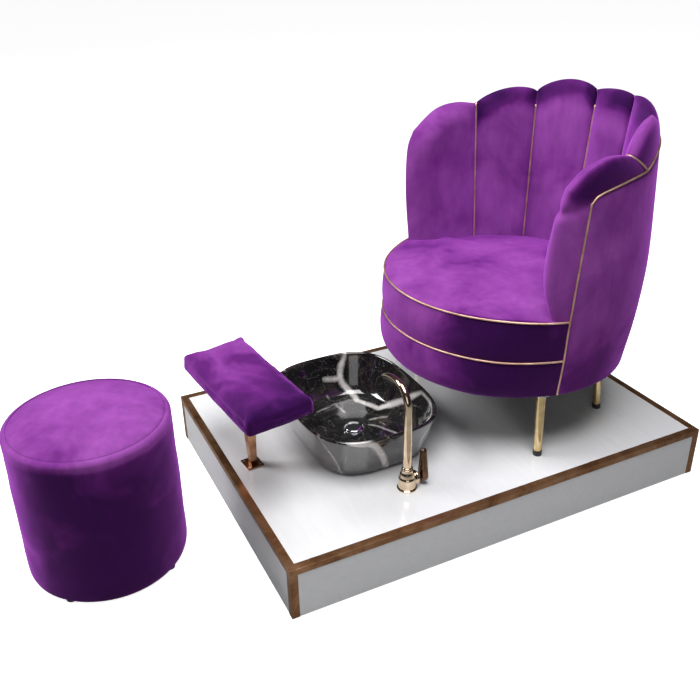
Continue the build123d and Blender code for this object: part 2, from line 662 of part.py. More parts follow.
def footrest_pad():
    """Upholstered block that wraps down around its board."""
    pad = block((PAD_X, PAD_Y, PAD_TOP - PAD_BOTTOM), (0, 0, (PAD_TOP + PAD_BOTTOM) / 2))
    pad = fillet(pad.edges().filter_by(Axis.Z), 14)
    pad = fillet(pad.edges().group_by(Axis.Z)[-1], 9)
    return rest_frame(pad) - footrest_board()


# ================================================================ armchair
def arm_angle():
    """Angle of the shell's front edge below the X axis, about the shell's centre."""
    return degrees(asin((SHELL_Y - ARM_Y) / SHELL_R))


def seam_angles():
    """Angles of the shell's front edges and of the seams between them, from +X over +Y to -X."""
    near = [-arm_angle(), *SEAM_ANGLES]
    return near + [180 - angle for angle in reversed(near)]


def shell_arc(profile):
    """A (radius, height) profile turned along the whole shell."""
    return turned(profile, 0, SHELL_Y, -arm_angle(), 180 + 2 * arm_angle())


def above_cover_edge():
    """Everything above the sloping top edge of the outer cover."""
    size = 1400.0
    place = Pos(0, ARM_Y, COVER_FRONT_Z) * Rot(COVER_SLOPE, 0, 0)
    return place * Pos(0, 0, size / 2) * Box(size, size, size)


def leg_places():
    """Feet of the four legs on the deck."""
    return [(s * x, y) for x, y in LEG_FEET for s in (-1, 1)]


def leg_axis_plane(x, y):
    """Plane at a leg's foot whose normal runs up along the leaning leg."""
    out = Vector(x, y - SHELL_Y, 0).normalized()
    up = Vector(0, 0, LEG_TOP_Z - DECK_TOP) - out * LEG_SPLAY
    return Plane(origin=(x, y, DECK_TOP), z_dir=up.normalized())


def leg_solid(x, y, start, end, radius_start, radius_end):
    """A stretch of a leg between two distances along its axis."""
    cone = Cone(radius_start, radius_end, end - start) if radius_start != radius_end \
        else Cylinder(radius_start, end - start)
    return leg_axis_plane(x, y) * Pos(0, 0, (start + end) / 2) * cone


def chair_legs():
    """Four tapered tube legs that lean slightly outwards, cut level under the leg plates."""
    legs = []
    for x, y in leg_places():
        leg = leg_solid(x, y, LEG_CAP_H, 200, LEG_FOOT_R, LEG_TOP_R)
        leg -= span(x - 60, x + 60, y - 60, y + 60, LEG_TOP_Z, LEG_TOP_Z + 60)
        legs.append(leg)
    return group(legs)


def leg_feet():
    """Black caps on the ends of the legs, flat on the deck and bored for the bolts."""
    feet = []
    for x, y in leg_places():
        cap = leg_solid(x, y, -5, LEG_CAP_H, LEG_FOOT_R + 1.2, LEG_FOOT_R + 1.2)
        cap -= span(x - 60, x + 60, y - 60, y + 60, DECK_TOP - 20, DECK_TOP)
        feet.append(cap - rod(LEG_BOLT_R, x, y, DECK_TOP - 1, DECK_TOP + 12))
    return group(feet)


def leg_plates():
    """Steel plates that fix the legs to the seat frame."""
    plates = []
    for x, y in leg_places():
        top = leg_axis_plane(x, y).from_local_coords((0, 0, LEG_TOP_Z - DECK_TOP))
        plates.append(rod(LEG_PLATE_R, top.X, top.Y, LEG_TOP_Z, LEG_TOP_Z + LEG_PLATE_T))
    return group(plates)


def leg_bolts():
    """Bolts from under the deck into the legs' feet."""
    bolts = []
    for x, y in leg_places():
        shank = rod(LEG_BOLT_R, x, y, DECK_BOTTOM, DECK_TOP + 12)
        bolts.append(shank + rod(8.0, x, y, DECK_BOTTOM - 5, DECK_BOTTOM))
    return group(bolts)


def seat_frame():
    """Round plywood frame: two flanges joined by a bent rim."""
    low, high = LEG_TOP_Z + 3.5, 438.0
    profile = [(240, low), (FRAME_R, low), (FRAME_R, high), (240, high), (240, high - 18),
               (FRAME_R - 12, high - 18), (FRAME_R - 12, low + 18), (240, low + 18)]
    return turned(profile, 0, SHELL_Y, 0, 360)


def seat_webbing():
    """Elastic straps across the frame, two crossing layers."""
    straps = []
    for offset in (-150.0, -50.0, 50.0, 150.0):
        half = sqrt(300.0 ** 2 - (abs(offset) + 30) ** 2)
        straps.append(span(-half, half, SHELL_Y + offset - 30, SHELL_Y + offset + 30, 438.0, 439.8))
        straps.append(span(offset - 30, offset + 30, SHELL_Y - half, SHELL_Y + half, 440.0, 441.8))
    return group(straps)


def seat_cushion():
    """Seat cushion: a full round front that necks down between the arms."""
    height = SEAT_TOP - SEAT_BOTTOM
    front = Pos(0, SEAT_Y) * Circle(SEAT_R) & Pos(0, -400) * Rectangle(1000, 2 * (400 + ARM_Y - 14))
    back = Pos(0, SHELL_Y) * Circle(CHANNEL_FOOT_R - 1.0)
    outline = front + back
    cushion = Pos(0, 0, SEAT_BOTTOM) * extrude(outline, height)
    return fillet(cushion.edges().group_by(Axis.Z)[-1], 12)


def seat_band():
    """Padded band around the front of the seat frame, below the cushion."""
    profile = [(200, BAND_BOTTOM), (368, BAND_BOTTOM), (BAND_R - 1, 350), (BAND_R, 385),
               (BAND_R - 3, 420), (372, 441), (200, 441)]
    band = turned(profile, 0, SEAT_Y, 0, 360)
    band -= rod(FRAME_R, 0, SHELL_Y, 300, 500)
    return band & span(-500, 500, -300, ARM_Y - 14, 300, 500)


def back_frame():
    """Bent plywood shell that stands around the seat frame."""
    profile = [(FRAME_R, 336), (FRAME_R + PLY_T, 336), (FRAME_R + PLY_T, 1100), (FRAME_R, 1100)]
    return shell_arc(profile) - above_cover_edge()


def radial_plane(angle):
    """Upright plane through the shell's centre that faces out along an angle; its x runs along the shell."""
    turn = radians(angle)
    return Plane(origin=(0, SHELL_Y, 0), x_dir=(-sin(turn), cos(turn), 0), z_dir=(cos(turn), sin(turn), 0))


def scallop_prism(index, start, end):
    """Space below one channel's scalloped top, as a prism along the channel's own radius."""
    valleys = list(VALLEY_Z) + list(reversed(VALLEY_Z))
    left, right = valleys[index + 1], valleys[index]
    half = SHELL_R * sin(radians((end - start) / 2)) * 1.02
    peak = (left + right) / 2 + SCALLOPS[min(index, CHANNELS - 1 - index)]
    outline = [Line((-half, 300), (half, 300)), Line((half, 300), (half, left)),
               ThreePointArc((half, left), (0, peak), (-half, right)), Line((-half, right), (-half, 300))]
    return extrude(radial_plane((start + end) / 2) * make_face(outline), 460)


def arm_bulge(side):
    """Stuffing of an arm channel that rounds forward past the shell's front edge, above the seat."""
    angle = -arm_angle() if side == 0 else 180 + arm_angle()
    forward = -1 if side == 0 else 1
    middle = (CHANNEL_FOOT_R + CHANNEL_LIP_R) / 2 + ARM_OUT
    low = SEAT_TOP + ARM_SEAT_GAP
    plan = Ellipse((CHANNEL_LIP_R - CHANNEL_FOOT_R) / 2 - ARM_INSET, ARM_BULGE)
    column = Pos(0, SHELL_Y, low) * Rot(0, 0, angle) * Pos(middle, 0, 0) * extrude(plan, CUT)
    reach = ARM_BULGE + 1
    tip = forward * reach
    knee = forward * (reach - ARM_CORNER * ARM_KNEE)
    bend = (forward * (reach - ARM_CORNER * ARM_BEND[0]), ARM_BULGE_Z - ARM_CORNER * ARM_BEND[1])
    side_view = [Line((knee, low), (tip, low)), Line((tip, low), (tip, ARM_BULGE_Z - ARM_CORNER)),
                 ThreePointArc((tip, ARM_BULGE_Z - ARM_CORNER), bend, (knee, ARM_BULGE_Z)),
                 Line((knee, ARM_BULGE_Z), (knee, low))]
    ahead = Pos(0, SHELL_Y, 0) * Rot(0, 0, angle) * span(
        0, CUT, min(0, forward * CUT), max(0, forward * CUT), 0, 2 * CUT)
    return column & extrude(radial_plane(angle) * make_face(side_view), CUT) & ahead


def back_channels():
    """Seven stuffed channels side by side inside the shell, rolled over its top edge."""
    profile = [(CHANNEL_FOOT_R, 442.3), (CHANNEL_LIP_R, 442.3), (CHANNEL_LIP_R, 1100),
               (CHANNEL_TOP_R + 10, 1100), (CHANNEL_TOP_R, CHANNEL_STRAIGHT_Z),
               (CHANNEL_FOOT_R, CHANNEL_BEND_Z)]
    under_lip = turned([(FRAME_R, 400), (500, 400), (500, 1100), (FRAME_R, 1100)],
                       0, SHELL_Y, -90, 360) - above_cover_edge()
    seams = seam_angles()
    channels = []
    for index in range(CHANNELS):
        start = seams[index] + (CHANNEL_GAP / 2 if index > 0 else 0)
        end = seams[index + 1] - (CHANNEL_GAP / 2 if index < CHANNELS - 1 else 0)
        channel = turned(profile, 0, SHELL_Y, start, end - start)
        channel = (channel & scallop_prism(index, start, end)) - under_lip
        if index in (0, CHANNELS - 1):
            channel += arm_bulge(min(index, 1))
        channels.append(channel)
    return group(channels)


def back_cover():
    """Outer padded cover of the shell, one smooth panel from arm to arm."""
    inner = FRAME_R + PLY_T
    profile = [(inner, 336), (inner + 1, 336), (354, 410), (369, 540), (SHELL_R, 650), (370, 740),
               (362, 850), (356, 1000), (inner, 1000)]
    return shell_arc(profile) - above_cover_edge()


def piping_arc(radius, y, z, start, sweep_angle):
    """Piping that follows a level circle."""
    circle = Pos(radius, 0, z) * Rot(90, 0, 0) * Circle(PIPING_R)
    return Pos(0, y, 0) * Rot(0, 0, start) * revolve(circle, Axis.Z, sweep_angle)


def seat_piping():
    """Metallic piping around the top and the bottom edge of the seat cushion."""
    reach = degrees(asin((SEAT_Y - ARM_Y + 16) / SEAT_R))
    pipes = []
    for radius, z in ((SEAT_R, SEAT_PIPING_Z), (BAND_R, 442.5)):
        pipes.append(piping_arc(radius + PIPING_R + 0.1, SEAT_Y, z, 180 + reach, 180 - 2 * reach))
    return group(pipes)


def cover_edge_piping():
    """Piping along the sloping top edge of the outer cover, an ellipse in the edge's plane."""
    slope = radians(COVER_SLOPE)
    radius = SHELL_R - EDGE_PIPING_INSET
    height = COVER_FRONT_Z + (SHELL_Y - ARM_Y) * sin(slope) / cos(slope) + EDGE_PIPING_LIFT
    edge = Plane(origin=(0, SHELL_Y, height), x_dir=(1, 0, 0), z_dir=(0, -sin(slope), cos(slope)))
    start = -arm_angle() + EDGE_PIPING_START
    arc = edge * EllipticalCenterArc((0, 0), radius, radius / cos(slope), start, arc_size=180 - 2 * start)
    return sweep(Plane(arc @ 0, z_dir=arc % 0) * Circle(PIPING_R), arc)


def back_piping():
    """Metallic piping around the outer cover's edge and along the seams between the channels."""
    pipes = [cover_edge_piping()]
    for side in (0, 1):
        angle = radians(180 + arm_angle() + 0.6 if side else -arm_angle() - 0.6)
        radius = SHELL_R - FRONT_PIPING_INSET
        x, y = radius * cos(angle), SHELL_Y + radius * sin(angle)
        pipes.append(rod(PIPING_R, x, y, FRONT_PIPING_LOW, COVER_FRONT_Z - FRONT_PIPING_DROP))
    lean = degrees(atan((CHANNEL_TOP_R - CHANNEL_FOOT_R) / (CHANNEL_STRAIGHT_Z - CHANNEL_BEND_Z)))
    for seam in range(1, CHANNELS):
        angle = seam_angles()[seam]
        top = VALLEY_Z[min(seam, CHANNELS - seam)] - SEAM_PIPING_DROP
        length = (top - SEAM_PIPING_LOW) / cos(radians(lean))
        pipe = Pos(0, 0, length / 2) * Cylinder(PIPING_R, length)
        out = (SEAM_PIPING_LOW - CHANNEL_BEND_Z) * sin(radians(lean))
        foot = Pos(CHANNEL_FOOT_R - PIPING_R - PIPING_GAP + out, 0, SEAM_PIPING_LOW)
        pipes.append(Pos(0, SHELL_Y, 0) * Rot(0, 0, angle) * foot * Rot(0, lean, 0) * pipe)
    return group(pipes)


def dust_cover():
    """Thin cloth under the seat frame, cut out around the leg plates."""
    cover = rod(FRAME_R - 4, 0, SHELL_Y, LEG_TOP_Z + 2.3, LEG_TOP_Z + LEG_PLATE_T)
    for plate in leg_plates().children:
        box = plate.bounding_box()
        cover -= rod(LEG_PLATE_R + 1, box.center().X, box.center().Y, 300, 360)
    return cover


# ================================================================ pouf
def pouf_frame():
    """Board drum inside the pouf."""
    drum = rod(POUF_FRAME_R, POUF_X, POUF_Y, POUF_BOTTOM, POUF_SEAM_Z)
    return drum - rod(POUF_FRAME_R - 10, POUF_X, POUF_Y, POUF_BOTTOM + 16, POUF_SEAM_Z - 12)


def pouf_cover():
    """Padded velvet side of the pouf."""
    profile = [(POUF_FRAME_R, POUF_BOTTOM), (POUF_R, POUF_BOTTOM), (POUF_R, 120), (POUF_TOP_R, POUF_SEAM_Z),
               (POUF_FRAME_R, POUF_SEAM_Z)]
    return turned(profile, POUF_X, POUF_Y, 0, 360)


def pouf_cushion():
    """Round cushion on top of the drum."""
    cushion = rod(POUF_TOP_R, POUF_X, POUF_Y, POUF_SEAM_Z, POUF_TOP)
    return fillet(cushion.edges().group_by(Axis.Z)[-1], 12)


def pouf_glides():
    """Plastic glides under the drum."""
    places = [(POUF_X + sx * 120, POUF_Y + sy * 120) for sx in (-1, 1) for sy in (-1, 1)]
    return group(rod(14.0, x, y, 0, POUF_BOTTOM) for x, y in places)


# ================================================================ all nodes
NODES = {
    "deck_panel": deck_panel(),
    "side_panel_left": side_panel(1),
    "side_panel_right": side_panel(-1),
    "front_panel": front_panel(),
    "rear_panel": rear_panel(),
    "cross_ribs": cross_ribs(),
    "foot_blocks": foot_blocks(),
    "levelling_feet": levelling_feet(),
    "edge_trims_short": edge_trims(PLATFORM_X, PLATFORM_Y / 2, 0),
    "edge_trims_long": edge_trims(PLATFORM_Y, PLATFORM_X / 2, 90),
    "corner_trims": corner_trims(),
    "panel_screws": group(panel_screw_solids()),
    "basin_bowl": basin_bowl(),
    "basin_seal": basin_seal(),
    "drain_flange": drain_flange(),
    "drain_plug": drain_plug(),
    "drain_washer": drain_washer(),
    "drain_nut": drain_nut(),
    "trap_body": trap_body(),
    "drain_pipe": drain_pipe(),
    "drain_outlet": drain_outlet(),
    "faucet_base_ring": faucet_base_ring(),
    "faucet_body": faucet_body(),
    "cartridge_housing": cartridge_housing(),
    "cartridge_rotor": cartridge_rotor(),
    "cartridge_cap": cartridge_cap(),
    "lever_stem": lever_stem(),
    "lever_handle": lever_handle(),
    "spout_tube": spout_tube(),
    "aerator": aerator(),
    "faucet_nut": faucet_nut(),
    "hot_hose": hose(-1, HOT_X),
    "cold_hose": hose(1, COLD_X),
    "hot_inlet": supply_inlet(HOT_X),
    "cold_inlet": supply_inlet(COLD_X),
    "footrest_post": footrest_post(),
    "footrest_screws": group(footrest_screw_solids()),
    "swivel_screw": swivel_screw(),
    "footrest_plate": footrest_plate(),
    "footrest_board": footrest_board(),
    "footrest_pad": footrest_pad(),
    "chair_legs": chair_legs(),
    "leg_feet": leg_feet(),
    "leg_plates": leg_plates(),
    "leg_bolts": leg_bolts(),
    "seat_frame": seat_frame(),
    "seat_webbing": seat_webbing(),
    "seat_cushion": seat_cushion(),
    "seat_band": seat_band(),
    "back_frame": back_frame(),
    "back_channels": back_channels(),
    "back_cover": back_cover(),
    "seat_piping": seat_piping(),
    "back_piping": back_piping(),
    "dust_cover": dust_cover(),
    "pouf_frame": pouf_frame(),
    "pouf_cover": pouf_cover(),
    "pouf_cushion": pouf_cushion(),
    "pouf_glides": pouf_glides(),
}

os.makedirs("parts", exist_ok=True)
for name, solid in NODES.items():
    save(solid, name)
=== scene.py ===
"""Looks of the pedicure spa chair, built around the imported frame.

Metres, +Z up, the sitter faces -Y.  Angles round the chair's shell are in degrees about its
upright axis, from +X over +Y, so 90 is the middle of the back.
"""
import json
import math

import bmesh
import bpy
from mathutils import Matrix, Vector, noise
from mathutils.kdtree import KDTree


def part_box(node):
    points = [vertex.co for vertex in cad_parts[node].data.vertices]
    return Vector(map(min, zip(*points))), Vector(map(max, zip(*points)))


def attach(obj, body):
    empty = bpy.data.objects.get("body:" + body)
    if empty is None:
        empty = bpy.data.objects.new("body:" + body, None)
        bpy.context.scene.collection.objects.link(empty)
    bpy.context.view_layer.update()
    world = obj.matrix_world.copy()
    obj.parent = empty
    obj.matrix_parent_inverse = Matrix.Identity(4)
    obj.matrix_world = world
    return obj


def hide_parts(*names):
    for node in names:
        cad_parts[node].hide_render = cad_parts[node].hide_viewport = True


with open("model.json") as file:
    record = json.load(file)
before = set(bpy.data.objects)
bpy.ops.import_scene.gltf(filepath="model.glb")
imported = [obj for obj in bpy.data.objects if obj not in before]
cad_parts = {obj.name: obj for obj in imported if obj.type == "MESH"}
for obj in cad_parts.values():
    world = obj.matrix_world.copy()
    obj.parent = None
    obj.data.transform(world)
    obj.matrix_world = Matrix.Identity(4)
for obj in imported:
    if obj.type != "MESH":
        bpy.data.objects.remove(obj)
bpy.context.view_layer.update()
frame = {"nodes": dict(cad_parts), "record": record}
NODES = frame["nodes"]

# ---------------------------------------------------------------- places, from the frame
COVER_LO, COVER_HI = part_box("back_cover")
SHELL_R = COVER_HI.x
SHELL_Y = COVER_HI.y - SHELL_R
ARM_Y = COVER_LO.y
SEAT_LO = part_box("seat_cushion")[0]
BAND_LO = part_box("seat_band")[0]
BAND_R = 0.380
SEAT_Y = BAND_LO.y + BAND_R
SEAT_R = SEAT_Y - SEAT_LO.y
BASIN_LO, BASIN_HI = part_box("basin_bowl")
BASIN = Vector((0.0, (BASIN_LO.y + BASIN_HI.y) / 2, BASIN_LO.z))
TAP_LO, TAP_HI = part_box("faucet_base_ring")
TAP = Vector(((TAP_LO.x + TAP_HI.x) / 2, (TAP_LO.y + TAP_HI.y) / 2, TAP_HI.z))
LEVER_LO, LEVER_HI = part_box("lever_handle")
SPOUT_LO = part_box("spout_tube")[0]
PAD_LO, PAD_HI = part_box("footrest_pad")
POUF_LO, POUF_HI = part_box("pouf_cover")
POUF_TOP_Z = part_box("pouf_cushion")[1].z

# ---------------------------------------------------------------- upholstery
# seams between the seven channels, from the arm on the +X side round to the other, and the top line there
SEAM_ANGLES = (15.3, 46.1, 77.0, 102.5, 133.9, 164.7)
SEAM_TOPS = (0.938, 0.994, 1.011, 1.004, 0.985, 0.950)
SCALLOPS = (0.030, 0.014, 0.010, 0.030, 0.024)      # rise of the five middle channels between their seams
CHANNEL_BOTTOM = 0.545
TOP_R = 0.327                              # radius of the stuffing's outline along the back's top
ARM_R = 0.350                              # and down the front of the arms
CROWN = 0.021                              # how far a channel swells in front of its seams
ROLL = 0.046                               # depth of the rounding from the outline to the face
BACK_R = 0.345                             # radius of the channels' hidden back
SEAM_GAP = 0.05                            # degrees between a seam and the channels beside it
SWELL_R = 0.31                             # radius at which a channel's width is taken
PIPING_STOP = 0.034                        # the middle seams' piping ends this far under the top line
COVER_BACK_R = 0.343
PIPING_R = 0.0026
# outlines as (angle, height); the sitter's left arm is slumped and creased, the other one plump
ARM_FRONT = {1: [(-17, 0.545), (-21.5, 0.66), (-20, 0.79), (-16, 0.885)],
             -1: [(-21.5, 0.545), (-24.5, 0.72), (-24, 0.84), (-20, 0.89)]}
ARM_TOP = {1: [(-16, 0.885), (-8, 0.93), (3, 0.95), (15.3, 0.938)],
           -1: [(-20, 0.89), (-6, 0.94), (5, 0.955), (15.3, 0.95)]}
EDGE_FRONT = [(-11, 0.545), (-10, 0.67), (-7, 0.85)]
EDGE_TOP = [(-7, 0.85), (-3, 0.87), (10, 0.887), (24, 0.895)]
EDGE_BACK = [(24, 0.895), (46, 0.935), (90, 0.955)]
EDGE_SEAM = 24.0                           # where the arm's seam meets the cover's edge
COVER_BOTTOM = 0.3342
# outer radius of the shell's cover at each height
COVER_PROFILE = [(0.334, 0.344), (0.44, 0.359), (0.56, 0.370), (0.65, 0.372), (0.80, 0.366), (0.96, 0.356)]

# ---------------------------------------------------------------- camera
CAMERA_PLACE = Vector((1.7896, -0.86665, 1.4582))
CAMERA_AZIMUTH = 64.300
CAMERA_ELEVATION = 27.657
CAMERA_ROLL = -1.167
CAMERA_LENS = 43.02

# ---------------------------------------------------------------- light
SKY_BRIGHT = (-0.2, -0.25, 0.95)            # where the sky is brightest
SKY_HIGH = 1.2
SKY_LOW = 0.30


# ================================================================ small maths
def lerp(a, b, t):
    """Linear mix of two numbers or vectors."""
    return a + (b - a) * t


def mix2(a, b, t):
    """Linear mix of two pairs."""
    return (lerp(a[0], b[0], t), lerp(a[1], b[1], t))


def smooth(low, high, x):
    """0 below low, 1 above high, smooth between."""
    t = min(max((x - low) / (high - low), 0.0), 1.0)
    return t * t * (3 - 2 * t)


def rounded(t):
    """Quarter circle from 0 at t = 0 to 1 at t = 1."""
    t = min(max(t, 0.0), 1.0)
    return math.sqrt(max(0.0, 1 - (1 - t) ** 2))


def through(points, count):
    """count + 1 points along a smooth line through the given ones (Catmull-Rom)."""
    ends = [tuple(2 * a - b for a, b in zip(points[0], points[1])), *points,
            tuple(2 * a - b for a, b in zip(points[-1], points[-2]))]
    made = []
    for step in range(count + 1):
        place = step / count * (len(points) - 1)
        i = min(int(place), len(points) - 2)
        t = place - i
        a, b, c, d = ends[i:i + 4]
        made.append(tuple(0.5 * (2 * q + (r - p) * t + (2 * p - 5 * q + 4 * r - s) * t * t
                                 + (3 * q - p - 3 * r + s) * t ** 3)
                          for p, q, r, s in zip(a, b, c, d)))
    return made


def table_value(table, x):
    """Value at x of a table of (x, value), linear between its rows."""
    if x <= table[0][0]:
        return table[0][1]
    for (x0, v0), (x1, v1) in zip(table, table[1:]):
        if x <= x1:
            return lerp(v0, v1, (x - x0) / (x1 - x0))
    return table[-1][1]


def on_shell(radius, angle, height):
    """Point at a radius, an angle and a height about the shell's axis."""
    turn = math.radians(angle)
    return Vector((radius * math.cos(turn), SHELL_Y + radius * math.sin(turn), height))


def wander(point, scale, seed):
    """Smooth noise from -1 to 1 at a point."""
    return noise.noise(Vector(point) * scale + Vector((seed * 7.3, seed * 3.1, seed * 1.7)))


# ================================================================ mesh building
def make_object(name, verts, faces, material, slot, body, nap_and_painted_shading=None):
    """A smooth-shaded mesh that rides on a body; the last argument, when given, is painted light and shade
    for the velvet at each point.
    """
    mesh = bpy.data.meshes.new(name)
    mesh.from_pydata([tuple(v) for v in verts], [], faces)
    work = bmesh.new()
    work.from_mesh(mesh)
    if nap_and_painted_shading:
        layer = work.verts.layers.float.new("nap_and_painted_shading")
        work.verts.ensure_lookup_table()
        for vert, value in zip(work.verts, nap_and_painted_shading):
            vert[layer] = value
    bmesh.ops.remove_doubles(work, verts=work.verts, dist=1e-6)
    bmesh.ops.recalc_face_normals(work, faces=work.faces)
    work.to_mesh(mesh)
    work.free()
    mesh.polygons.foreach_set("use_smooth", [True] * len(mesh.polygons))
    mesh.update()
    obj = bpy.data.objects.new(name, mesh)
    bpy.context.scene.collection.objects.link(obj)
    mesh.materials.append(material)
    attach(obj, body)
    return obj


def ring_faces(rings, count, closed=True, start=0):
    """Quads between neighbouring rows of count points."""
    faces = []
    for r in range(rings - 1):
        for i in range(count if closed else count - 1):
            j = (i + 1) % count
            a, b = start + r * count, start + (r + 1) * count
            faces.append((a + i, a + j, b + j, b + i))
    return faces


def stack(rings):
    """Verts and faces of a closed skin through closed rings, shut by a fan at each end."""
    count = len(rings[0])
    verts = [p for ring in rings for p in ring]
    faces = ring_faces(len(rings), count)
    for ring, first in ((rings[0], 0), (rings[-1], (len(rings) - 1) * count)):
        centre = sum((Vector(p) for p in ring), Vector()) / count
        verts.append(centre)
        faces += [(first + i, first + (i + 1) % count, len(verts) - 1) for i in range(count)]
    return verts, faces


def lathe(profile, centre, segments=96, axis="z"):
    """Verts and faces of a (radius, height) profile turned about an upright or a Y axis."""
    rings = []
    for radius, height in profile:
        ring = []
        for i in range(segments):
            turn = 2 * math.pi * i / segments
            a, b = radius * math.cos(turn), radius * math.sin(turn)
            ring.append(centre + (Vector((a, b, height)) if axis == "z" else Vector((a, height, b))))
        rings.append(ring)
    return stack(rings)


def tube(path, radii, segments=10):
    """Verts and faces of a round tube along points, with one radius per point or one for all."""
    if not isinstance(radii, (list, tuple)):
        radii = [radii] * len(path)
    path = [Vector(p) for p in path]
    rings = []
    side = None
    for i, point in enumerate(path):
        ahead = (path[min(i + 1, len(path) - 1)] - path[max(i - 1, 0)]).normalized()
        if side is None:
            side = ahead.orthogonal().normalized()
        side = (side - ahead * side.dot(ahead)).normalized()
        other = ahead.cross(side)
        rings.append([point + (side * math.cos(2 * math.pi * k / segments)
                               + other * math.sin(2 * math.pi * k / segments)) * radii[i]
                      for k in range(segments)])
    return stack(rings)


def merged(*parts):
    """Verts and faces of several skins as one."""
    verts, faces = [], []
    for part_verts, part_faces in parts:
        start = len(verts)
        verts += part_verts
        faces += [tuple(start + i for i in face) for face in part_faces]
    return verts, faces


def mirrored(points):
    """Points mirrored across the chair's middle plane."""
    return [Vector((-p[0], p[1], p[2])) for p in points]


def edge_loop(columns, rows):
    """Indices round the edge of a grid: up the last column, back along the top, down, along the bottom."""
    loop = [(columns, j) for j in range(rows + 1)]
    loop += [(i, rows) for i in range(columns - 1, -1, -1)]
    loop += [(0, j) for j in range(rows - 1, -1, -1)]
    loop += [(i, 0) for i in range(1, columns)]
    return loop


def slab(front, back, loops):
    """A closed skin: two grids of points joined round their edges through loops of points."""
    columns, rows = len(front) - 1, len(front[0]) - 1
    edge = edge_loop(columns, rows)
    verts, faces = [], []
    for grid in (front, back):
        start = len(verts)
        verts += [p for column in grid for p in column]
        for i in range(columns):
            for j in range(rows):
                a = start + i * (rows + 1) + j
                faces.append((a, a + rows + 1, a + rows + 2, a + 1))
    size = (columns + 1) * (rows + 1)
    rims = [[i * (rows + 1) + j for i, j in edge]]
    for loop in loops:
        rims.append(list(range(len(verts), len(verts) + len(loop))))
        verts += loop
    rims.append([size + i * (rows + 1) + j for i, j in edge])
    for low, high in zip(rims, rims[1:]):
        for k in range(len(edge)):
            n = (k + 1) % len(edge)
            faces.append((low[k], low[n], high[n], high[k]))
    return verts, faces


def coons(bottom, top, left, right):
    """Grid of pairs that fills four border lines."""
    columns, rows = len(bottom) - 1, len(left) - 1
    grid = []
    for i in range(columns + 1):
        s = i / columns
        column = []
        for j in range(rows + 1):
            t = j / rows
            pair = []
            for c in (0, 1):
                ruled = lerp(bottom[i][c], top[i][c], t) + lerp(left[j][c], right[j][c], s)
                corners = lerp(lerp(bottom[0][c], bottom[-1][c], s), lerp(top[0][c], top[-1][c], s), t)
                pair.append(ruled - corners)
            column.append(tuple(pair))
        grid.append(column)
    return grid


def straight(a, b, count):
    """count + 1 pairs from a to b."""
    return [mix2(a, b, i / count) for i in range(count + 1)]


# ================================================================ materials
def material(name, colour, roughness, metallic=0.0, **sockets):
    """A material whose shader's own sockets are set; sockets names use _ for a space."""
    made = bpy.data.materials.new(name)
    made.use_nodes = True
    shader = made.node_tree.nodes["Principled BSDF"]
    shader.inputs["Base Color"].default_value = (*colour, 1.0)
    shader.inputs["Roughness"].default_value = roughness
    shader.inputs["Metallic"].default_value = metallic
    for key, value in sockets.items():
        shader.inputs[key.replace("_", " ")].default_value = value
    return made


def node(mat, kind, **settings):
    """A node with its inputs or properties set."""
    made = mat.node_tree.nodes.new(kind)
    for key, value in settings.items():
        label = key.replace("_", " ")
        if label in made.inputs:
            made.inputs[label].default_value = value
        else:
            setattr(made, key, value)
    return made


def link(mat, source, output, target, socket):
    """Joins an output to an input."""
    mat.node_tree.links.new(source.outputs[output], target.inputs[socket])


def shader_of(mat):
    """The material's shader node."""
    return mat.node_tree.nodes["Principled BSDF"]


def coordinates(mat, scale=(1.0, 1.0, 1.0)):
    """Object coordinates, stretched."""
    source = node(mat, "ShaderNodeTexCoord")
    mapping = node(mat, "ShaderNodeMapping")
    mapping.inputs["Scale"].default_value = scale
    link(mat, source, "Object", mapping, "Vector")
    return mapping


def ramp(mat, source, output, stops):
    """Colour ramp with (position, colour) stops."""
    made = node(mat, "ShaderNodeValToRGB")
    band = made.color_ramp
    band.elements[0].position, band.elements[0].color = stops[0][0], (*stops[0][1], 1.0)
    band.elements[1].position, band.elements[1].color = stops[-1][0], (*stops[-1][1], 1.0)
    for place, colour in stops[1:-1]:
        band.elements.new(place).color = (*colour, 1.0)
    link(mat, source, output, made, "Fac")
    return made


def noise_at(mat, coords, scale, detail=4.0, roughness=0.55, distortion=0.0):
    """A noise texture on the given coordinates."""
    made = node(mat, "ShaderNodeTexNoise", Scale=scale, Detail=detail, Roughness=roughness,
                Distortion=distortion)
    link(mat, coords, "Vector", made, "Vector")
    return made


def mixed(mat, a, b, factor, kind="MIX"):
    """A colour mix of two (node, output) pairs or colours."""
    made = node(mat, "ShaderNodeMix", data_type="RGBA", blend_type=kind)
    for value, socket in ((a, 6), (b, 7), (factor, 0)):
        if isinstance(value, tuple) and not isinstance(value[0], float):
            mat.node_tree.links.new(value[0].outputs[value[1]], made.inputs[socket])
        elif isinstance(value, tuple):
            made.inputs[socket].default_value = (*value, 1.0)
        else:
            made.inputs[socket].default_value = value
    return made


def bumped(mat, heights):
    """Adds bumps in turn, each (node, output, strength, distance in metres), to the shader's normal."""
    last = None
    for source, output, strength, distance in heights:
        bump = node(mat, "ShaderNodeBump", Strength=strength, Distance=distance)
        link(mat, source, output, bump, "Height")
        if last is not None:
            link(mat, last, "Normal", bump, "Normal")
        last = bump
    link(mat, last, "Normal", shader_of(mat), "Normal")


def varied_roughness(mat, source, output, low, high):
    """Roughness between two values, driven by a texture."""
    spread = node(mat, "ShaderNodeMapRange")
    spread.inputs["To Min"].default_value = low
    spread.inputs["To Max"].default_value = high
    link(mat, source, output, spread, "Value")
    link(mat, spread, "Result", shader_of(mat), "Roughness")


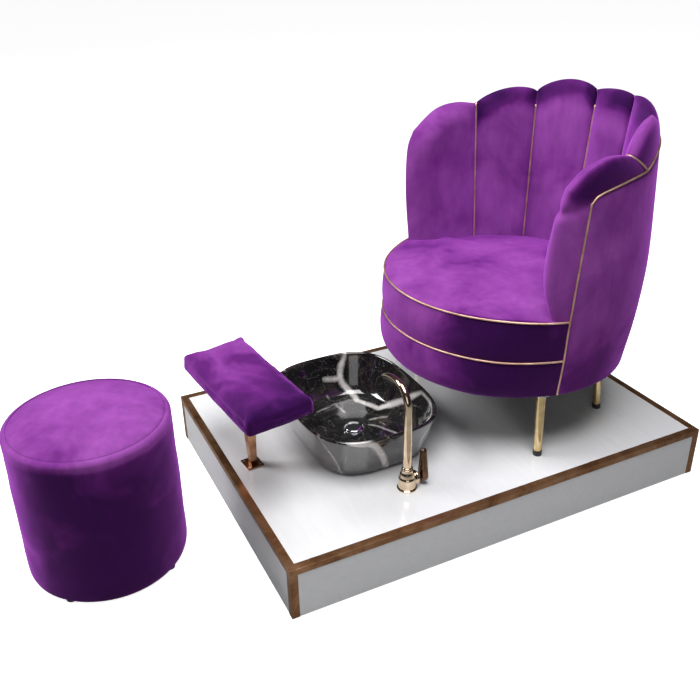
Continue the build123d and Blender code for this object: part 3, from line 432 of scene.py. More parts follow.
def velvet(name, seed):
    """Velvet whose pile lies in soft patches; a per-point attribute of painted light and shade leans it
    darker (1, painted shade) or lighter (-1, painted light).
    """
    mat = material(name, (0.2, 0.03, 0.28), 0.85, Sheen_Weight=1.0, Sheen_Roughness=0.42,
                   Sheen_Tint=(0.60, 0.13, 0.80, 1.0), Specular_IOR_Level=0.12)
    coords = coordinates(mat)
    coords.inputs["Location"].default_value = (seed * 1.37, seed * 2.11, seed * 0.73)
    patches = noise_at(mat, coords, 6.0, 3.0, 0.55, 0.5)
    strokes = noise_at(mat, coordinates(mat, (40.0, 40.0, 12.0)), 1.0, 3.0, 0.6, 0.3)
    pile_and_painted_shade = noise_at(mat, coordinates(mat), 900.0, 2.0, 0.6)
    # painted light and shade from the mesh's attribute moves each point along the colour ramp below
    lean = node(mat, "ShaderNodeAttribute", attribute_name="nap_and_painted_shading")
    shift = node(mat, "ShaderNodeMath", operation="MULTIPLY_ADD")
    shift.inputs[1].default_value = -0.30
    link(mat, lean, "Fac", shift, 0)
    link(mat, patches, "Fac", shift, 2)
    nap_and_painted_shading = ramp(mat, shift, 0, [(0.20, (0.032, 0.001, 0.062)), (0.38, (0.105, 0.010, 0.150)),
                               (0.50, (0.205, 0.034, 0.262)), (0.62, (0.262, 0.054, 0.320)),
                               (0.80, (0.335, 0.080, 0.405))])
    brushed = ramp(mat, strokes, "Fac", [(0.35, (0.80, 0.78, 0.82)), (0.65, (1.10, 1.08, 1.08))])
    coloured = mixed(mat, (nap_and_painted_shading, "Color"), (brushed, "Color"), 0.6, "MULTIPLY")
    fine = ramp(mat, pile_and_painted_shade, "Fac", [(0.3, (0.84, 0.84, 0.86)), (0.7, (1.10, 1.10, 1.10))])
    final = mixed(mat, (coloured, 2), (fine, "Color"), 0.6, "MULTIPLY")
    link(mat, final, 2, shader_of(mat), "Base Color")
    varied_roughness(mat, patches, "Fac", 0.95, 0.7)
    bumped(mat, [(patches, "Fac", 0.15, 0.004), (strokes, "Fac", 0.15, 0.001), (pile_and_painted_shade, "Fac", 0.4, 0.0004)])
    return mat


def piping_cord():
    """Metallic gold cord with a fine twist."""
    mat = material("gold_piping", (0.78, 0.50, 0.36), 0.34, 0.75, Coat_Weight=0.25, Coat_Roughness=0.3)
    coords = coordinates(mat)
    twist = noise_at(mat, coords, 1400.0, 1.0, 0.5)
    wear = noise_at(mat, coords, 26.0, 3.0, 0.5)
    tone = ramp(mat, wear, "Fac", [(0.35, (0.62, 0.36, 0.24)), (0.62, (0.88, 0.60, 0.44))])
    link(mat, tone, "Color", shader_of(mat), "Base Color")
    varied_roughness(mat, twist, "Fac", 0.26, 0.46)
    bumped(mat, [(twist, "Fac", 0.6, 0.0005)])
    return mat


def polished_metal(name, light, dark, roughness):
    """Plated metal with faint clouding and hair-fine scratches."""
    mat = material(name, light, roughness, 1.0, Coat_Weight=0.15, Coat_Roughness=0.05)
    coords = coordinates(mat)
    cloud = noise_at(mat, coords, 38.0, 4.0, 0.6)
    grain = noise_at(mat, coordinates(mat, (420.0, 420.0, 40.0)), 1.0, 3.0, 0.6)
    tone = ramp(mat, cloud, "Fac", [(0.3, dark), (0.62, light)])
    link(mat, tone, "Color", shader_of(mat), "Base Color")
    varied_roughness(mat, grain, "Fac", roughness * 0.7, roughness * 1.35)
    bumped(mat, [(grain, "Fac", 0.12, 0.0002)])
    return mat


def brushed_bronze():
    """Angle trims: copper-bronze anodised, with a fine grain and lighter and darker clouds at random."""
    mat = material("trim_bronze", (0.34, 0.17, 0.08), 0.36, 0.85)
    coords = coordinates(mat)
    cloud = noise_at(mat, coords, 16.0, 5.0, 0.6, 0.4)
    grain = noise_at(mat, coordinates(mat, (260.0, 260.0, 260.0)), 1.0, 3.0, 0.6)
    tone = ramp(mat, cloud, "Fac", [(0.3, (0.20, 0.085, 0.035)), (0.5, (0.36, 0.18, 0.085)),
                                    (0.72, (0.52, 0.29, 0.16))])
    link(mat, tone, "Color", shader_of(mat), "Base Color")
    varied_roughness(mat, grain, "Fac", 0.26, 0.5)
    bumped(mat, [(grain, "Fac", 0.2, 0.0003)])
    return mat


def laminate():
    """Glossy white board with faint orange peel and scuffs."""
    mat = material("deck_laminate", (0.88, 0.88, 0.90), 0.12, 0.0, Coat_Weight=0.6,
                   Coat_Roughness=0.04, Specular_IOR_Level=0.5)
    coords = coordinates(mat)
    peel = noise_at(mat, coords, 55.0, 2.0, 0.5)
    scuffs = noise_at(mat, coordinates(mat, (3.0, 22.0, 22.0)), 2.2, 5.0, 0.65, 0.8)
    tone = ramp(mat, scuffs, "Fac", [(0.3, (0.86, 0.865, 0.885)), (0.6, (0.90, 0.905, 0.925))])
    link(mat, tone, "Color", shader_of(mat), "Base Color")
    varied_roughness(mat, scuffs, "Fac", 0.10, 0.24)
    bumped(mat, [(peel, "Fac", 0.05, 0.0006)])
    return mat


def marble():
    """Black glaze with white veins: the attribute 'vein' is the distance past a vein's edge, in metres."""
    mat = material("marble_ceramic", (0.01, 0.01, 0.011), 0.10, 0.0, Coat_Weight=1.0,
                   Coat_Roughness=0.03, Specular_IOR_Level=0.6)
    coords = coordinates(mat)
    edge = node(mat, "ShaderNodeAttribute", attribute_name="vein")
    ragged = noise_at(mat, coords, 130.0, 5.0, 0.65, 0.3)
    shake = node(mat, "ShaderNodeMath", operation="MULTIPLY_ADD")
    shake.inputs[1].default_value = 0.0065
    link(mat, ragged, "Fac", shake, 0)
    link(mat, edge, "Fac", shake, 2)
    veins = ramp(mat, shake, 0, [(0.0, (1.0, 1.0, 1.0)), (0.0030, (1.0, 1.0, 1.0)),
                                 (0.0046, (0.0, 0.0, 0.0))])
    clouds = noise_at(mat, coords, 9.0, 6.0, 0.6, 1.6)
    base = ramp(mat, clouds, "Fac", [(0.40, (0.006, 0.006, 0.007)), (0.55, (0.016, 0.015, 0.015)),
                                     (0.66, (0.050, 0.040, 0.034)), (0.75, (0.030, 0.018, 0.012))])
    hair = noise_at(mat, coords, 14.0, 3.0, 0.5, 2.2)
    line = node(mat, "ShaderNodeMath", operation="SUBTRACT")
    line.inputs[1].default_value = 0.5
    link(mat, hair, "Fac", line, 0)
    width = node(mat, "ShaderNodeMath", operation="ABSOLUTE")
    link(mat, line, 0, width, 0)
    hairs = ramp(mat, width, 0, [(0.0, (0.5, 0.5, 0.5)), (0.004, (0.12, 0.12, 0.12)),
                                 (0.010, (0.0, 0.0, 0.0))])
    grey = mixed(mat, (base, "Color"), (0.30, 0.29, 0.28), (hairs, "Color"))
    stone = noise_at(mat, coords, 60.0, 4.0, 0.6)
    white = ramp(mat, stone, "Fac", [(0.3, (0.50, 0.47, 0.45)), (0.7, (0.74, 0.72, 0.70))])
    final = mixed(mat, (grey, 2), (white, "Color"), (veins, "Color"))
    link(mat, final, 2, shader_of(mat), "Base Color")
    varied_roughness(mat, stone, "Fac", 0.08, 0.16)
    bumped(mat, [(stone, "Fac", 0.04, 0.0005)])
    return mat


def grained(name, dark, light, roughness, stretch):
    """Wood or board with grain along one axis."""
    mat = material(name, light, roughness)
    grain = noise_at(mat, coordinates(mat, stretch), 1.0, 6.0, 0.65, 0.6)
    tone = ramp(mat, grain, "Fac", [(0.3, dark), (0.7, light)])
    link(mat, tone, "Color", shader_of(mat), "Base Color")
    bumped(mat, [(grain, "Fac", 0.3, 0.0008)])
    return mat


def speckled(name, dark, light, roughness, scale, metallic=0.0, height=0.0004):
    """Moulded, rubber, plated or woven stuff with fine variation at one scale."""
    mat = material(name, light, roughness, metallic)
    grain = noise_at(mat, coordinates(mat), scale, 3.0, 0.6)
    tone = ramp(mat, grain, "Fac", [(0.3, dark), (0.7, light)])
    link(mat, tone, "Color", shader_of(mat), "Base Color")
    varied_roughness(mat, grain, "Fac", roughness * 0.8, min(1.0, roughness * 1.2))
    bumped(mat, [(grain, "Fac", 0.3, height)])
    return mat


def braided(name):
    """Braided steel: diagonal waves."""
    mat = material(name, (0.55, 0.56, 0.58), 0.3, 1.0)
    coords = coordinates(mat)
    first = node(mat, "ShaderNodeTexWave", Scale=260.0, Distortion=0.4)
    first.bands_direction = "DIAGONAL"
    link(mat, coords, "Vector", first, "Vector")
    tone = ramp(mat, first, "Fac", [(0.2, (0.30, 0.31, 0.33)), (0.7, (0.70, 0.71, 0.73))])
    link(mat, tone, "Color", shader_of(mat), "Base Color")
    bumped(mat, [(first, "Fac", 0.8, 0.0008)])
    return mat


MATERIALS = {
    "deck_laminate": laminate(),
    "trim_bronze": brushed_bronze(),
    "plywood": grained("plywood", (0.42, 0.28, 0.15), (0.62, 0.45, 0.27), 0.7, (6.0, 60.0, 90.0)),
    "timber": grained("timber", (0.38, 0.24, 0.12), (0.58, 0.40, 0.22), 0.75, (50.0, 50.0, 6.0)),
    "black_plastic": speckled("black_plastic", (0.012, 0.012, 0.012), (0.03, 0.03, 0.032), 0.45, 700.0),
    "zinc_steel": speckled("zinc_steel", (0.42, 0.43, 0.45), (0.62, 0.63, 0.65), 0.32, 90.0, 1.0, 0.0001),
    "marble_ceramic": marble(),
    "seal_rubber": speckled("seal_rubber", (0.012, 0.012, 0.012), (0.028, 0.028, 0.028), 0.8, 500.0),
    "waste_chrome": polished_metal("waste_chrome", (0.72, 0.73, 0.76), (0.55, 0.56, 0.60), 0.09),
    "white_pvc": speckled("white_pvc", (0.72, 0.72, 0.70), (0.80, 0.80, 0.78), 0.3, 120.0, 0.0, 0.0001),
    "pale_gold": polished_metal("pale_gold", (0.83, 0.68, 0.50), (0.66, 0.48, 0.32), 0.12),
    "lever_bronze": polished_metal("lever_bronze", (0.17, 0.095, 0.055), (0.10, 0.05, 0.028), 0.24),
    "cartridge_plastic": speckled("cartridge_plastic", (0.70, 0.70, 0.64), (0.80, 0.80, 0.74), 0.45, 200.0),
    "braided_steel": braided("braided_steel"),
    "copper_bronze": polished_metal("copper_bronze", (0.58, 0.31, 0.17), (0.34, 0.15, 0.07), 0.22),
    "purple_velvet": velvet("purple_velvet", 0),
    "gold_piping": piping_cord(),
    "leg_gold": polished_metal("leg_gold", (0.84, 0.66, 0.36), (0.62, 0.44, 0.20), 0.15),
    "webbing": speckled("webbing", (0.05, 0.05, 0.05), (0.12, 0.12, 0.12), 0.9, 900.0),
    "dust_cloth": speckled("dust_cloth", (0.015, 0.015, 0.015), (0.04, 0.04, 0.04), 0.95, 1300.0),
}
SHELL_VELVET = velvet("velvet_shell", 3)
POUF_VELVET = velvet("velvet_pouf", 7)
PAD_VELVET = velvet("velvet_pad", 11)


def paint_velvet_shading(obj, rule):
    """Paints light and shade into the velvet at each point, as an attribute, from a rule on the point."""
    layer = obj.data.attributes.new("nap_and_painted_shading", "FLOAT", "POINT")
    layer.data.foreach_set("value", [rule(vert.co) for vert in obj.data.vertices])


def inflate(obj, held, pressure, cap):
    """Swells a cushion by cloth simulation; held picks the points that stay, cap is the furthest move."""
    rest = [vert.co.copy() for vert in obj.data.vertices]
    group = obj.vertex_groups.new(name="held")
    group.add([i for i, co in enumerate(rest) if held(co)], 1.0, "REPLACE")
    cloth = obj.modifiers.new("cloth", "CLOTH")
    cloth.settings.quality = 5
    cloth.settings.use_pressure = True
    cloth.settings.uniform_pressure_force = pressure
    cloth.settings.vertex_group_mass = "held"
    cloth.settings.effector_weights.gravity = 0.0
    cloth.collision_settings.use_collision = False
    scene = bpy.context.scene
    for step in range(1, 21):
        scene.frame_set(step)
    ready = obj.evaluated_get(bpy.context.evaluated_depsgraph_get())
    swollen = [vert.co.copy() for vert in ready.data.vertices]
    obj.modifiers.remove(cloth)
    obj.vertex_groups.remove(group)
    scene.frame_set(1)
    for vert, old, new in zip(obj.data.vertices, rest, swollen):
        move = new - old
        vert.co = old + move * (min(move.length, cap) / max(move.length, 1e-9))
    obj.data.update()


# ================================================================ CAD nodes that stay
def dress_cad_nodes():
    """Gives each CAD node its slot's material and small rounded edges where it is box-like."""
    bevels = {"deck_panel": 0.0008, "side_panel_left": 0.0008, "side_panel_right": 0.0008,
              "front_panel": 0.0008, "rear_panel": 0.0008, "edge_trims_short": 0.0004,
              "edge_trims_long": 0.0004, "corner_trims": 0.0004, "footrest_post": 0.0012,
              "footrest_plate": 0.0006, "cartridge_cap": 0.0008, "leg_feet": 0.0008, "leg_plates": 0.0006}
    for row in frame["record"]["subparts"]:
        obj = NODES[row["node"]]
        obj.data.materials.clear()
        obj.data.materials.append(MATERIALS[row["material_slot"]])
        if row["node"] in bevels:
            weld = obj.modifiers.new("weld", "WELD")
            weld.merge_threshold = 1e-5
            bevel = obj.modifiers.new("bevel", "BEVEL")
            bevel.width = bevels[row["node"]]
            bevel.segments = 2
            bevel.limit_method = "ANGLE"
            bevel.angle_limit = math.radians(40)
            bevel.harden_normals = False


# ================================================================ armchair shell
COVER_LINE = through(COVER_PROFILE, 30)
EDGE_BACK_LINE = through(EDGE_BACK, 40)


def cover_radius(height):
    """Outer radius of the shell's cover."""
    return table_value(COVER_LINE, height)


def seam_radius(height):
    """Inner radius of the shell at the seams between channels."""
    return 0.290 + (height - 0.575) * 0.107


def crown(height):
    """How far a channel swells in front of its seams, more in the roll along the top."""
    return CROWN + 0.011 * smooth(0.78, 0.94, height)


def developed(pair):
    """(angle, height) as a flat point in metres, for distances on the shell."""
    return Vector((math.radians(pair[0]) * TOP_R, pair[1], 0.0))


def nearest(points):
    """A search tree over (angle, height) pairs."""
    tree = KDTree(len(points))
    for i, pair in enumerate(points):
        tree.insert(developed(pair), i)
    tree.balance()
    return tree


def tucked(outline, edge, depth=0.006):
    """Points a little past the cover's edge, where the stuffing's cloth goes under it."""
    made = []
    for o, e in zip(outline, edge):
        step = developed(e) - developed(o)
        step = step.normalized() * depth
        made.append((e[0] + math.degrees(step.x / TOP_R), e[1] + step.y))
    return made


def outline_radius(angle):
    """Radius of the stuffing's outline: out over the cover on the arms, further in along the back."""
    from_side = min(angle, 180 - angle)
    return lerp(ARM_R, TOP_R, smooth(-8.0, 22.0, from_side))


def edge_height(angle):
    """Height of the cover's edge behind the arm's seam."""
    from_side = min(angle, 180 - angle)
    return table_value(EDGE_BACK_LINE, from_side)


def build_middle(index, columns=30, rows=56):
    """Skin of one of the five channels between the arms."""
    low, high = SEAM_ANGLES[index] + SEAM_GAP, SEAM_ANGLES[index + 1] - SEAM_GAP
    edge_low = EDGE_SEAM + SEAM_GAP if index == 0 else low
    edge_high = 180 - EDGE_SEAM - SEAM_GAP if index == 4 else high
    tops, edges = [], []
    for i in range(columns + 1):
        t = i / columns
        rise = SCALLOPS[index] * (4 * t * (1 - t)) ** 0.75
        tops.append((lerp(low, high, t), lerp(SEAM_TOPS[index], SEAM_TOPS[index + 1], t) + rise))
        angle = lerp(edge_low, edge_high, t)
        edges.append((angle, edge_height(angle)))
    bottom = straight((low, CHANNEL_BOTTOM), (high, CHANNEL_BOTTOM), columns)
    inside = coons(bottom, tops, straight((low, CHANNEL_BOTTOM), tops[0], rows),
                   straight((high, CHANNEL_BOTTOM), tops[-1], rows))
    under = tucked(tops, edges)
    back = coons(bottom, under, straight((low, CHANNEL_BOTTOM), under[0], rows),
                 straight((high, CHANNEL_BOTTOM), under[-1], rows))
    rims = {(i, rows): (tops[i], edges[i]) for i in range(columns + 1)}
    half = math.radians(high - low) * SWELL_R / 2
    # painted shading (face, outline, cover edge): painted light on the faces; painted shade on the outline
    # and its roll, except the first channel, lit along its outline
    pile_and_painted_shade = (-0.45, -0.6, 0.95) if index == 0 else (-0.45, 0.85, 0.85)
    return rolled_channel(inside, back, rims, tops, [(low, half), (high, half)], index, pile_and_painted_shade)


def rolled_channel(inside, back, rims, outline, seams, seed, pile_and_painted_shade):
    """Skin of a channel and its painted light and shade.

    inside and back are grids of (angle, height).  rims maps a grid place on the outline to its outline
    and cover edge points.  The last argument gives the painted shading of the face, the outline and the edge
    at the cover: above 0 painted shade, below 0 painted light.
    """
    tree = nearest([p for pair in zip(outline, outline[1:]) for p in straight(*pair, 4)])
    columns, rows = len(inside) - 1, len(inside[0]) - 1
    front, nap_and_painted_shading = [], []
    for i in range(columns + 1):
        column = []
        for j in range(rows + 1):
            angle, height = inside[i][j]
            off = 0.0 if (i, j) in rims else tree.find(developed((angle, height)))[2]
            seam_off = min(abs(math.radians(angle - seam)) * SWELL_R / half for seam, half in seams)
            swell = 0.55 * rounded(seam_off) + 0.45 * (1 - (1 - min(seam_off, 1.0)) ** 2)
            face = seam_radius(height) - crown(height) * swell
            rim = outline_radius(angle)
            radius = rim - (rim - face) * rounded(off / ROLL)
            point = on_shell(radius, angle, height)
            radius += 0.0018 * swell * wander(point, 9.0, seed)
            radius += 0.0009 * swell * wander(point, 24.0, seed + 1)
            column.append(on_shell(radius, angle, height))
            # painted shading: the face's value away from the outline, the outline's value near it, and
            # painted shade in the folds by the seams
            nap_and_painted_shading.append(lerp(pile_and_painted_shade[1], pile_and_painted_shade[0], smooth(0.016, 0.070, off)) + 0.35 * smooth(0.22, 0.0, seam_off))
        front.append(column)
    loops = []
    steps = 9
    behind = [[on_shell(BACK_R, *pair) for pair in column] for column in back]
    nap_and_painted_shading += [0.0] * ((columns + 1) * (rows + 1))
    for step in range(1, steps + 1):
        t = step / steps
        across, out = 1 - math.cos(t * math.pi / 2), math.sin(t * math.pi / 2)
        loop = []
        for i, j in edge_loop(columns, rows):
            if (i, j) in rims:
                outer, edge = rims[(i, j)]
                angle, height = mix2(outer, edge, across)
                radius = lerp(outline_radius(outer[0]), cover_radius(edge[1]) - 0.001, out)
                loop.append(on_shell(radius, angle, height))
                # painted shading over the roll, from the outline's value to the cover edge's value
                nap_and_painted_shading.append(lerp(pile_and_painted_shade[1], pile_and_painted_shade[2], smooth(0.2, 0.55, t)))
            else:
                loop.append(lerp(front[i][j], behind[i][j], t * 0.9))
                nap_and_painted_shading.append(0.0)
        loops.append(loop)
    return slab(front, behind, loops), front, nap_and_painted_shading


def build_arm(side):
    """Skin of an arm's channel, whose stuffing rounds over its top and its front; side -1 is mirrored."""
    columns, rows = 48, 64
    seam = SEAM_ANGLES[0] - SEAM_GAP
    edge_seam = EDGE_SEAM - SEAM_GAP
    front_line = through(ARM_FRONT[side], rows)
    top_line = through([(min(p[0], seam), p[1]) for p in reversed(ARM_TOP[side])], columns)
    edge_front = through(EDGE_FRONT, rows)
    edge_top = through([(min(p[0], edge_seam), p[1]) for p in reversed(EDGE_TOP)], columns)
    inside = coons(straight((seam, CHANNEL_BOTTOM), front_line[0], columns), top_line,
                   straight((seam, CHANNEL_BOTTOM), top_line[0], rows), front_line)
    under_front, under_top = tucked(front_line, edge_front), tucked(top_line, edge_top)
    under_front[-1] = under_top[-1]
    back = coons(straight((seam, CHANNEL_BOTTOM), under_front[0], columns), under_top,
                 straight((seam, CHANNEL_BOTTOM), under_top[0], rows), under_front)
    rims = {(columns, j): (front_line[j], edge_front[j]) for j in range(rows + 1)}
    rims.update({(i, rows): (top_line[i], edge_top[i]) for i in range(columns)})
    # painted shading (face, outline, cover edge): painted light all over the arm's channel
    skin, front, nap_and_painted_shading = rolled_channel(inside, back, rims, front_line + top_line[::-1], [(seam, 0.075)], 5,
                                      (-0.45, -0.55, -0.35))
    if side < 0:
        skin = (mirrored(skin[0]), skin[1])
    return skin, nap_and_painted_shading


def edge_line():
    """The outer cover's edge from the foot of one arm round the back to the other, as (angle, height)."""
    foot = [(-10.8, COVER_BOTTOM), (-10.8, 0.44)]
    near = through(foot + EDGE_FRONT, 60) + through(EDGE_TOP, 30)[1:] + through(EDGE_BACK, 60)[1:]
    return near + [(180 - a, h) for a, h in reversed(near[:-1])]


def build_cover():
    """Skin of the outer cover, from arm to arm."""
    rows, columns = 60, 180
    front = through([(-10.8, COVER_BOTTOM), (-10.8, 0.44)] + EDGE_FRONT, rows)
    half_top = through(EDGE_TOP, 30) + through(EDGE_BACK, 60)[1:]
    top = half_top + [(180 - a, h) for a, h in reversed(half_top[:-1])]
    far = [(180 - a, h) for a, h in front]
    grid = coons(straight(front[0], far[0], columns), top, front, far)
    border = nearest([p for pair in zip(edge_line(), edge_line()[1:]) for p in straight(*pair, 2)])
    outer, inner = [], []
    for column in grid:
        outer_column, inner_column = [], []
        for angle, height in column:
            off = border.find(developed((angle, height)))[2]
            radius = cover_radius(height) - 0.0045 * (1 - rounded(off / 0.014))
            point = on_shell(radius, angle, height)
            radius += 0.0012 * wander(point, 7.0, 21) * rounded(off / 0.03)
            outer_column.append(on_shell(radius, angle, height))
            inner_column.append(on_shell(COVER_BACK_R - 0.0015, angle, height))
        outer.append(outer_column)
        inner.append(inner_column)
    return slab(outer, inner, [])


def arm_painted_shade(point, nap_and_painted_shading):
    """Painted shade on the rolled top of the arms, the dark strip behind their lit outline."""
    angle = math.degrees(math.atan2(point.y - SHELL_Y, abs(point.x)))
    if angle > EDGE_SEAM:
        return nap_and_painted_shading
    radius = Vector((point.x, point.y - SHELL_Y)).length
    limit = outline_radius(angle)
    back = smooth(limit + 0.001, limit + 0.013, radius)
    return lerp(nap_and_painted_shading, 1.0, back * smooth(0.835, 0.875, point.z))


def crease_arm(obj):
    """Presses in the fold below the slumped arm's rolled top, from its front to the cover's corner."""
    start, end = developed((-21.0, 0.826)), developed((-6.5, 0.848))
    along = end - start
    normals = [vert.normal.copy() for vert in obj.data.vertices]
    for vert, normal in zip(obj.data.vertices, normals):
        angle = math.degrees(math.atan2(vert.co.y - SHELL_Y, vert.co.x))
        if not -30 < angle < -4:
            continue
        place = developed((angle, vert.co.z)) - start
        share = min(max(place.dot(along) / along.length_squared, 0.0), 1.0)
        off = (place - along * share).length
        vert.co -= normal * 0.0055 * math.exp(-(off / 0.010) ** 2)


def seam_path(angle, column, limit):
    """Line of a seam's piping up the channels' edge, to a height."""
    path = []
    for point in column:
        if point.z > limit:
            break
        radius = (Vector((point.x, point.y, 0)) - Vector((0, SHELL_Y, 0))).length - 0.0016
        path.append(on_shell(radius, angle, point.z))
    return path


def over_roll(angle, top, steps=9):
    """Line of an arm seam's piping from the top line over the roll to the cover's edge."""
    edge_angle = EDGE_SEAM if angle < 90 else 180 - EDGE_SEAM
    end = edge_height(edge_angle)
    path = []
    for step in range(1, steps + 1):
        t = step / steps
        turn, height = mix2((angle, top), (edge_angle, end), 1 - math.cos(t * math.pi / 2))
        radius = lerp(outline_radius(angle), cover_radius(end), math.sin(t * math.pi / 2)) + 0.0006
        path.append(on_shell(radius, turn, height))
    return path


def build_shell():
    """The chair's back: seven channels, the outer cover and the piping."""
    parts, nap_and_shading_values, seam_fronts = [], [], []
    for side in (1, -1):
        skin, nap_and_painted_shading = build_arm(side)
        parts.append(skin)
        nap_and_shading_values += [arm_painted_shade(point, value) for point, value in zip(skin[0], nap_and_painted_shading)]
    for index in range(5):
        skin, front, nap_and_painted_shading = build_middle(index)
        seam_fronts.append(front[0])
        if index == 4:
            seam_fronts.append(front[-1])
        parts.append(skin)
        nap_and_shading_values += nap_and_painted_shading
    channels = make_object("back_cushions", *merged(*parts), SHELL_VELVET, "purple_velvet", "platform", nap_and_shading_values)
    crease_arm(channels)
    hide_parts("back_channels")
    cover = make_object("outer_cover", *build_cover(), SHELL_VELVET, "purple_velvet", "platform")
    # painted shade low on the cover, painted light higher up
    paint_velvet_shading(cover, lambda point: lerp(0.1, -0.5, smooth(0.36, 0.62, point.z)))
    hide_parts("back_cover")
    pipes = [tube([on_shell(cover_radius(h) + 0.0004, a, h) for a, h in edge_line()], PIPING_R)]
    for angle, top, column in zip(SEAM_ANGLES, SEAM_TOPS, seam_fronts):
        at_arm = angle in (SEAM_ANGLES[0], SEAM_ANGLES[-1])
        path = seam_path(angle, column, math.inf if at_arm else top - PIPING_STOP)
        if at_arm:
            path += over_roll(angle, top)
        pipes.append(tube(path, PIPING_R))
    piping = make_object("shell_piping", *merged(*pipes), MATERIALS["gold_piping"], "gold_piping", "platform")
    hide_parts("back_piping")


# ================================================================ seat
def arm_edge_reach(height):
    """Distance from the seat's centre to the arm's vertical piping at a height."""
    turn = math.radians(10.6)
    x, y = cover_radius(height) * math.cos(turn), SHELL_Y - cover_radius(height) * math.sin(turn)
    return Vector((x, y - SEAT_Y)).length


def seat_reach(turn, front_radius, height):
    """Radius of the seat at an angle about its centre: round in front, necked down between the arms."""
    degrees = math.degrees(turn) % 360
    from_front = abs(degrees - 270)
    side = smooth(45, 74, from_front)
    front = lerp(front_radius, arm_edge_reach(height), side)
    shift = SHELL_Y - SEAT_Y
    inner = 0.279
    along = math.sin(turn) * shift
    back = along + math.sqrt(max(0.0, along * along - shift * shift + inner * inner))
    return lerp(front, back, smooth(75.5, 84, from_front))


def seat_skin(profile, segments=168):
    """Closed skin of (radius share, height, front radius, height of reach) rings."""
    rings = []
    for share, height, front_radius in profile:
        ring = []
        for i in range(segments):
            turn = 2 * math.pi * i / segments
            reach = seat_reach(turn, front_radius, height) * share
            ring.append(Vector((reach * math.cos(turn), SEAT_Y + reach * math.sin(turn), height)))
        rings.append(ring)
    return rings


def seat_painted_shading(point):
    """Painted shading of the seat: painted light on top, painted shade down the part of the front that turns
    towards +X, away from the light.
    """
    turn = math.degrees(math.atan2(point.y - SEAT_Y, point.x)) % 360
    front = lerp(-0.4, 1.25, smooth(280, 322, turn)) if turn > 180 else 0.0
    return lerp(front, -0.35, smooth(0.553, 0.560, point.z))


def build_seat():
    """Seat cushion with a crowned top, and the padded band below it, with their piping."""
    piping_z = 0.556
    mid_z = 0.4425
    profile = [(0.10, mid_z, SEAT_R), (0.9, mid_z, SEAT_R), (1.0, mid_z + 0.001, SEAT_R + 0.0045)]
    for step in range(1, 13):
        t = step / 12
        bulge = 0.006 * math.sin(math.pi * t) ** 0.8
        profile.append((1.0, lerp(mid_z, piping_z, t), SEAT_R + lerp(0.0045, 0.0, t) + bulge))
    for step in range(1, 30):
        t = step / 30
        share = 1 - t
        profile.append((share, piping_z + 0.026 * (1 - share ** 2.6) ** 0.9, SEAT_R))
    rings = seat_skin(profile)
    for ring in rings[15:]:
        for point in ring:
            flat = smooth(0.36, 0.30, Vector((point.x, point.y - SEAT_Y)).length)
            point.z += flat * (0.0022 * wander(point, 6.0, 31) + 0.0008 * wander(point, 19.0, 32))
    cushion = make_object("seat_pad", *stack(rings), MATERIALS["purple_velvet"], "purple_velvet", "platform")
    inflate(cushion, lambda co: co.z < piping_z + 0.001 or
            Vector((co.x, co.y - SHELL_Y)).length > 0.274 and co.y > ARM_Y, 3.0, 0.005)
    paint_velvet_shading(cushion, seat_painted_shading)
    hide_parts("seat_cushion")
    band_profile = [(0.3335, 0.360), (0.3345, 0.3655), (0.342, 0.3705), (0.350, 0.3755), (0.360, 0.3785),
                    (0.372, 0.3800), (0.385, 0.3805), (0.400, 0.3800), (0.414, 0.3785), (0.426, 0.3765),
                    (0.436, 0.3740), (0.4405, 0.3715)]
    segments = 128
    reach_angle = 75.6
    front, back = [], []
    for i in range(segments + 1):
        turn = math.radians(270 + lerp(-reach_angle, reach_angle, i / segments))
        from_front = abs(math.degrees(turn) - 270)
        side = smooth(38, 75, from_front)
        outer, inner = [], []
        for height, radius in band_profile:
            reach = lerp(radius, arm_edge_reach(height), side)
            reach += 0.0012 * wander((turn * 4, height * 8, 0), 1.0, 41) * (1 - side)
            direction = Vector((math.cos(turn), math.sin(turn), 0))
            outer.append(Vector((0, SEAT_Y, height)) + direction * reach)
            inner.append(Vector((0, SEAT_Y, height)) + direction * (reach - 0.028))
        front.append(outer)
        back.append(inner)
    band = make_object("seat_skirt", *slab(front, back, []), MATERIALS["purple_velvet"],
                       "purple_velvet", "platform")
    paint_velvet_shading(band, seat_painted_shading)
    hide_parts("seat_band")
    pipes = []
    for height, radius in ((piping_z, SEAT_R + 0.0012), (mid_z - 0.0005, SEAT_R + 0.0055)):
        path = []
        for i in range(121):
            turn = math.radians(270 + lerp(-75.4, 75.4, i / 120))
            reach = seat_reach(turn, radius, height) + 0.001
            path.append(Vector((reach * math.cos(turn), SEAT_Y + reach * math.sin(turn), height)))
        pipes.append(tube(path, PIPING_R))
    piping = make_object("seat_cords", *merged(*pipes), MATERIALS["gold_piping"], "gold_piping", "platform")
    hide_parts("seat_piping")


# ================================================================ footrest pad
REST_YAW = math.radians(5.5)
REST_TILT = math.radians(2.3)
PAD_SIZE = Vector((0.404, 0.182, 0.047))


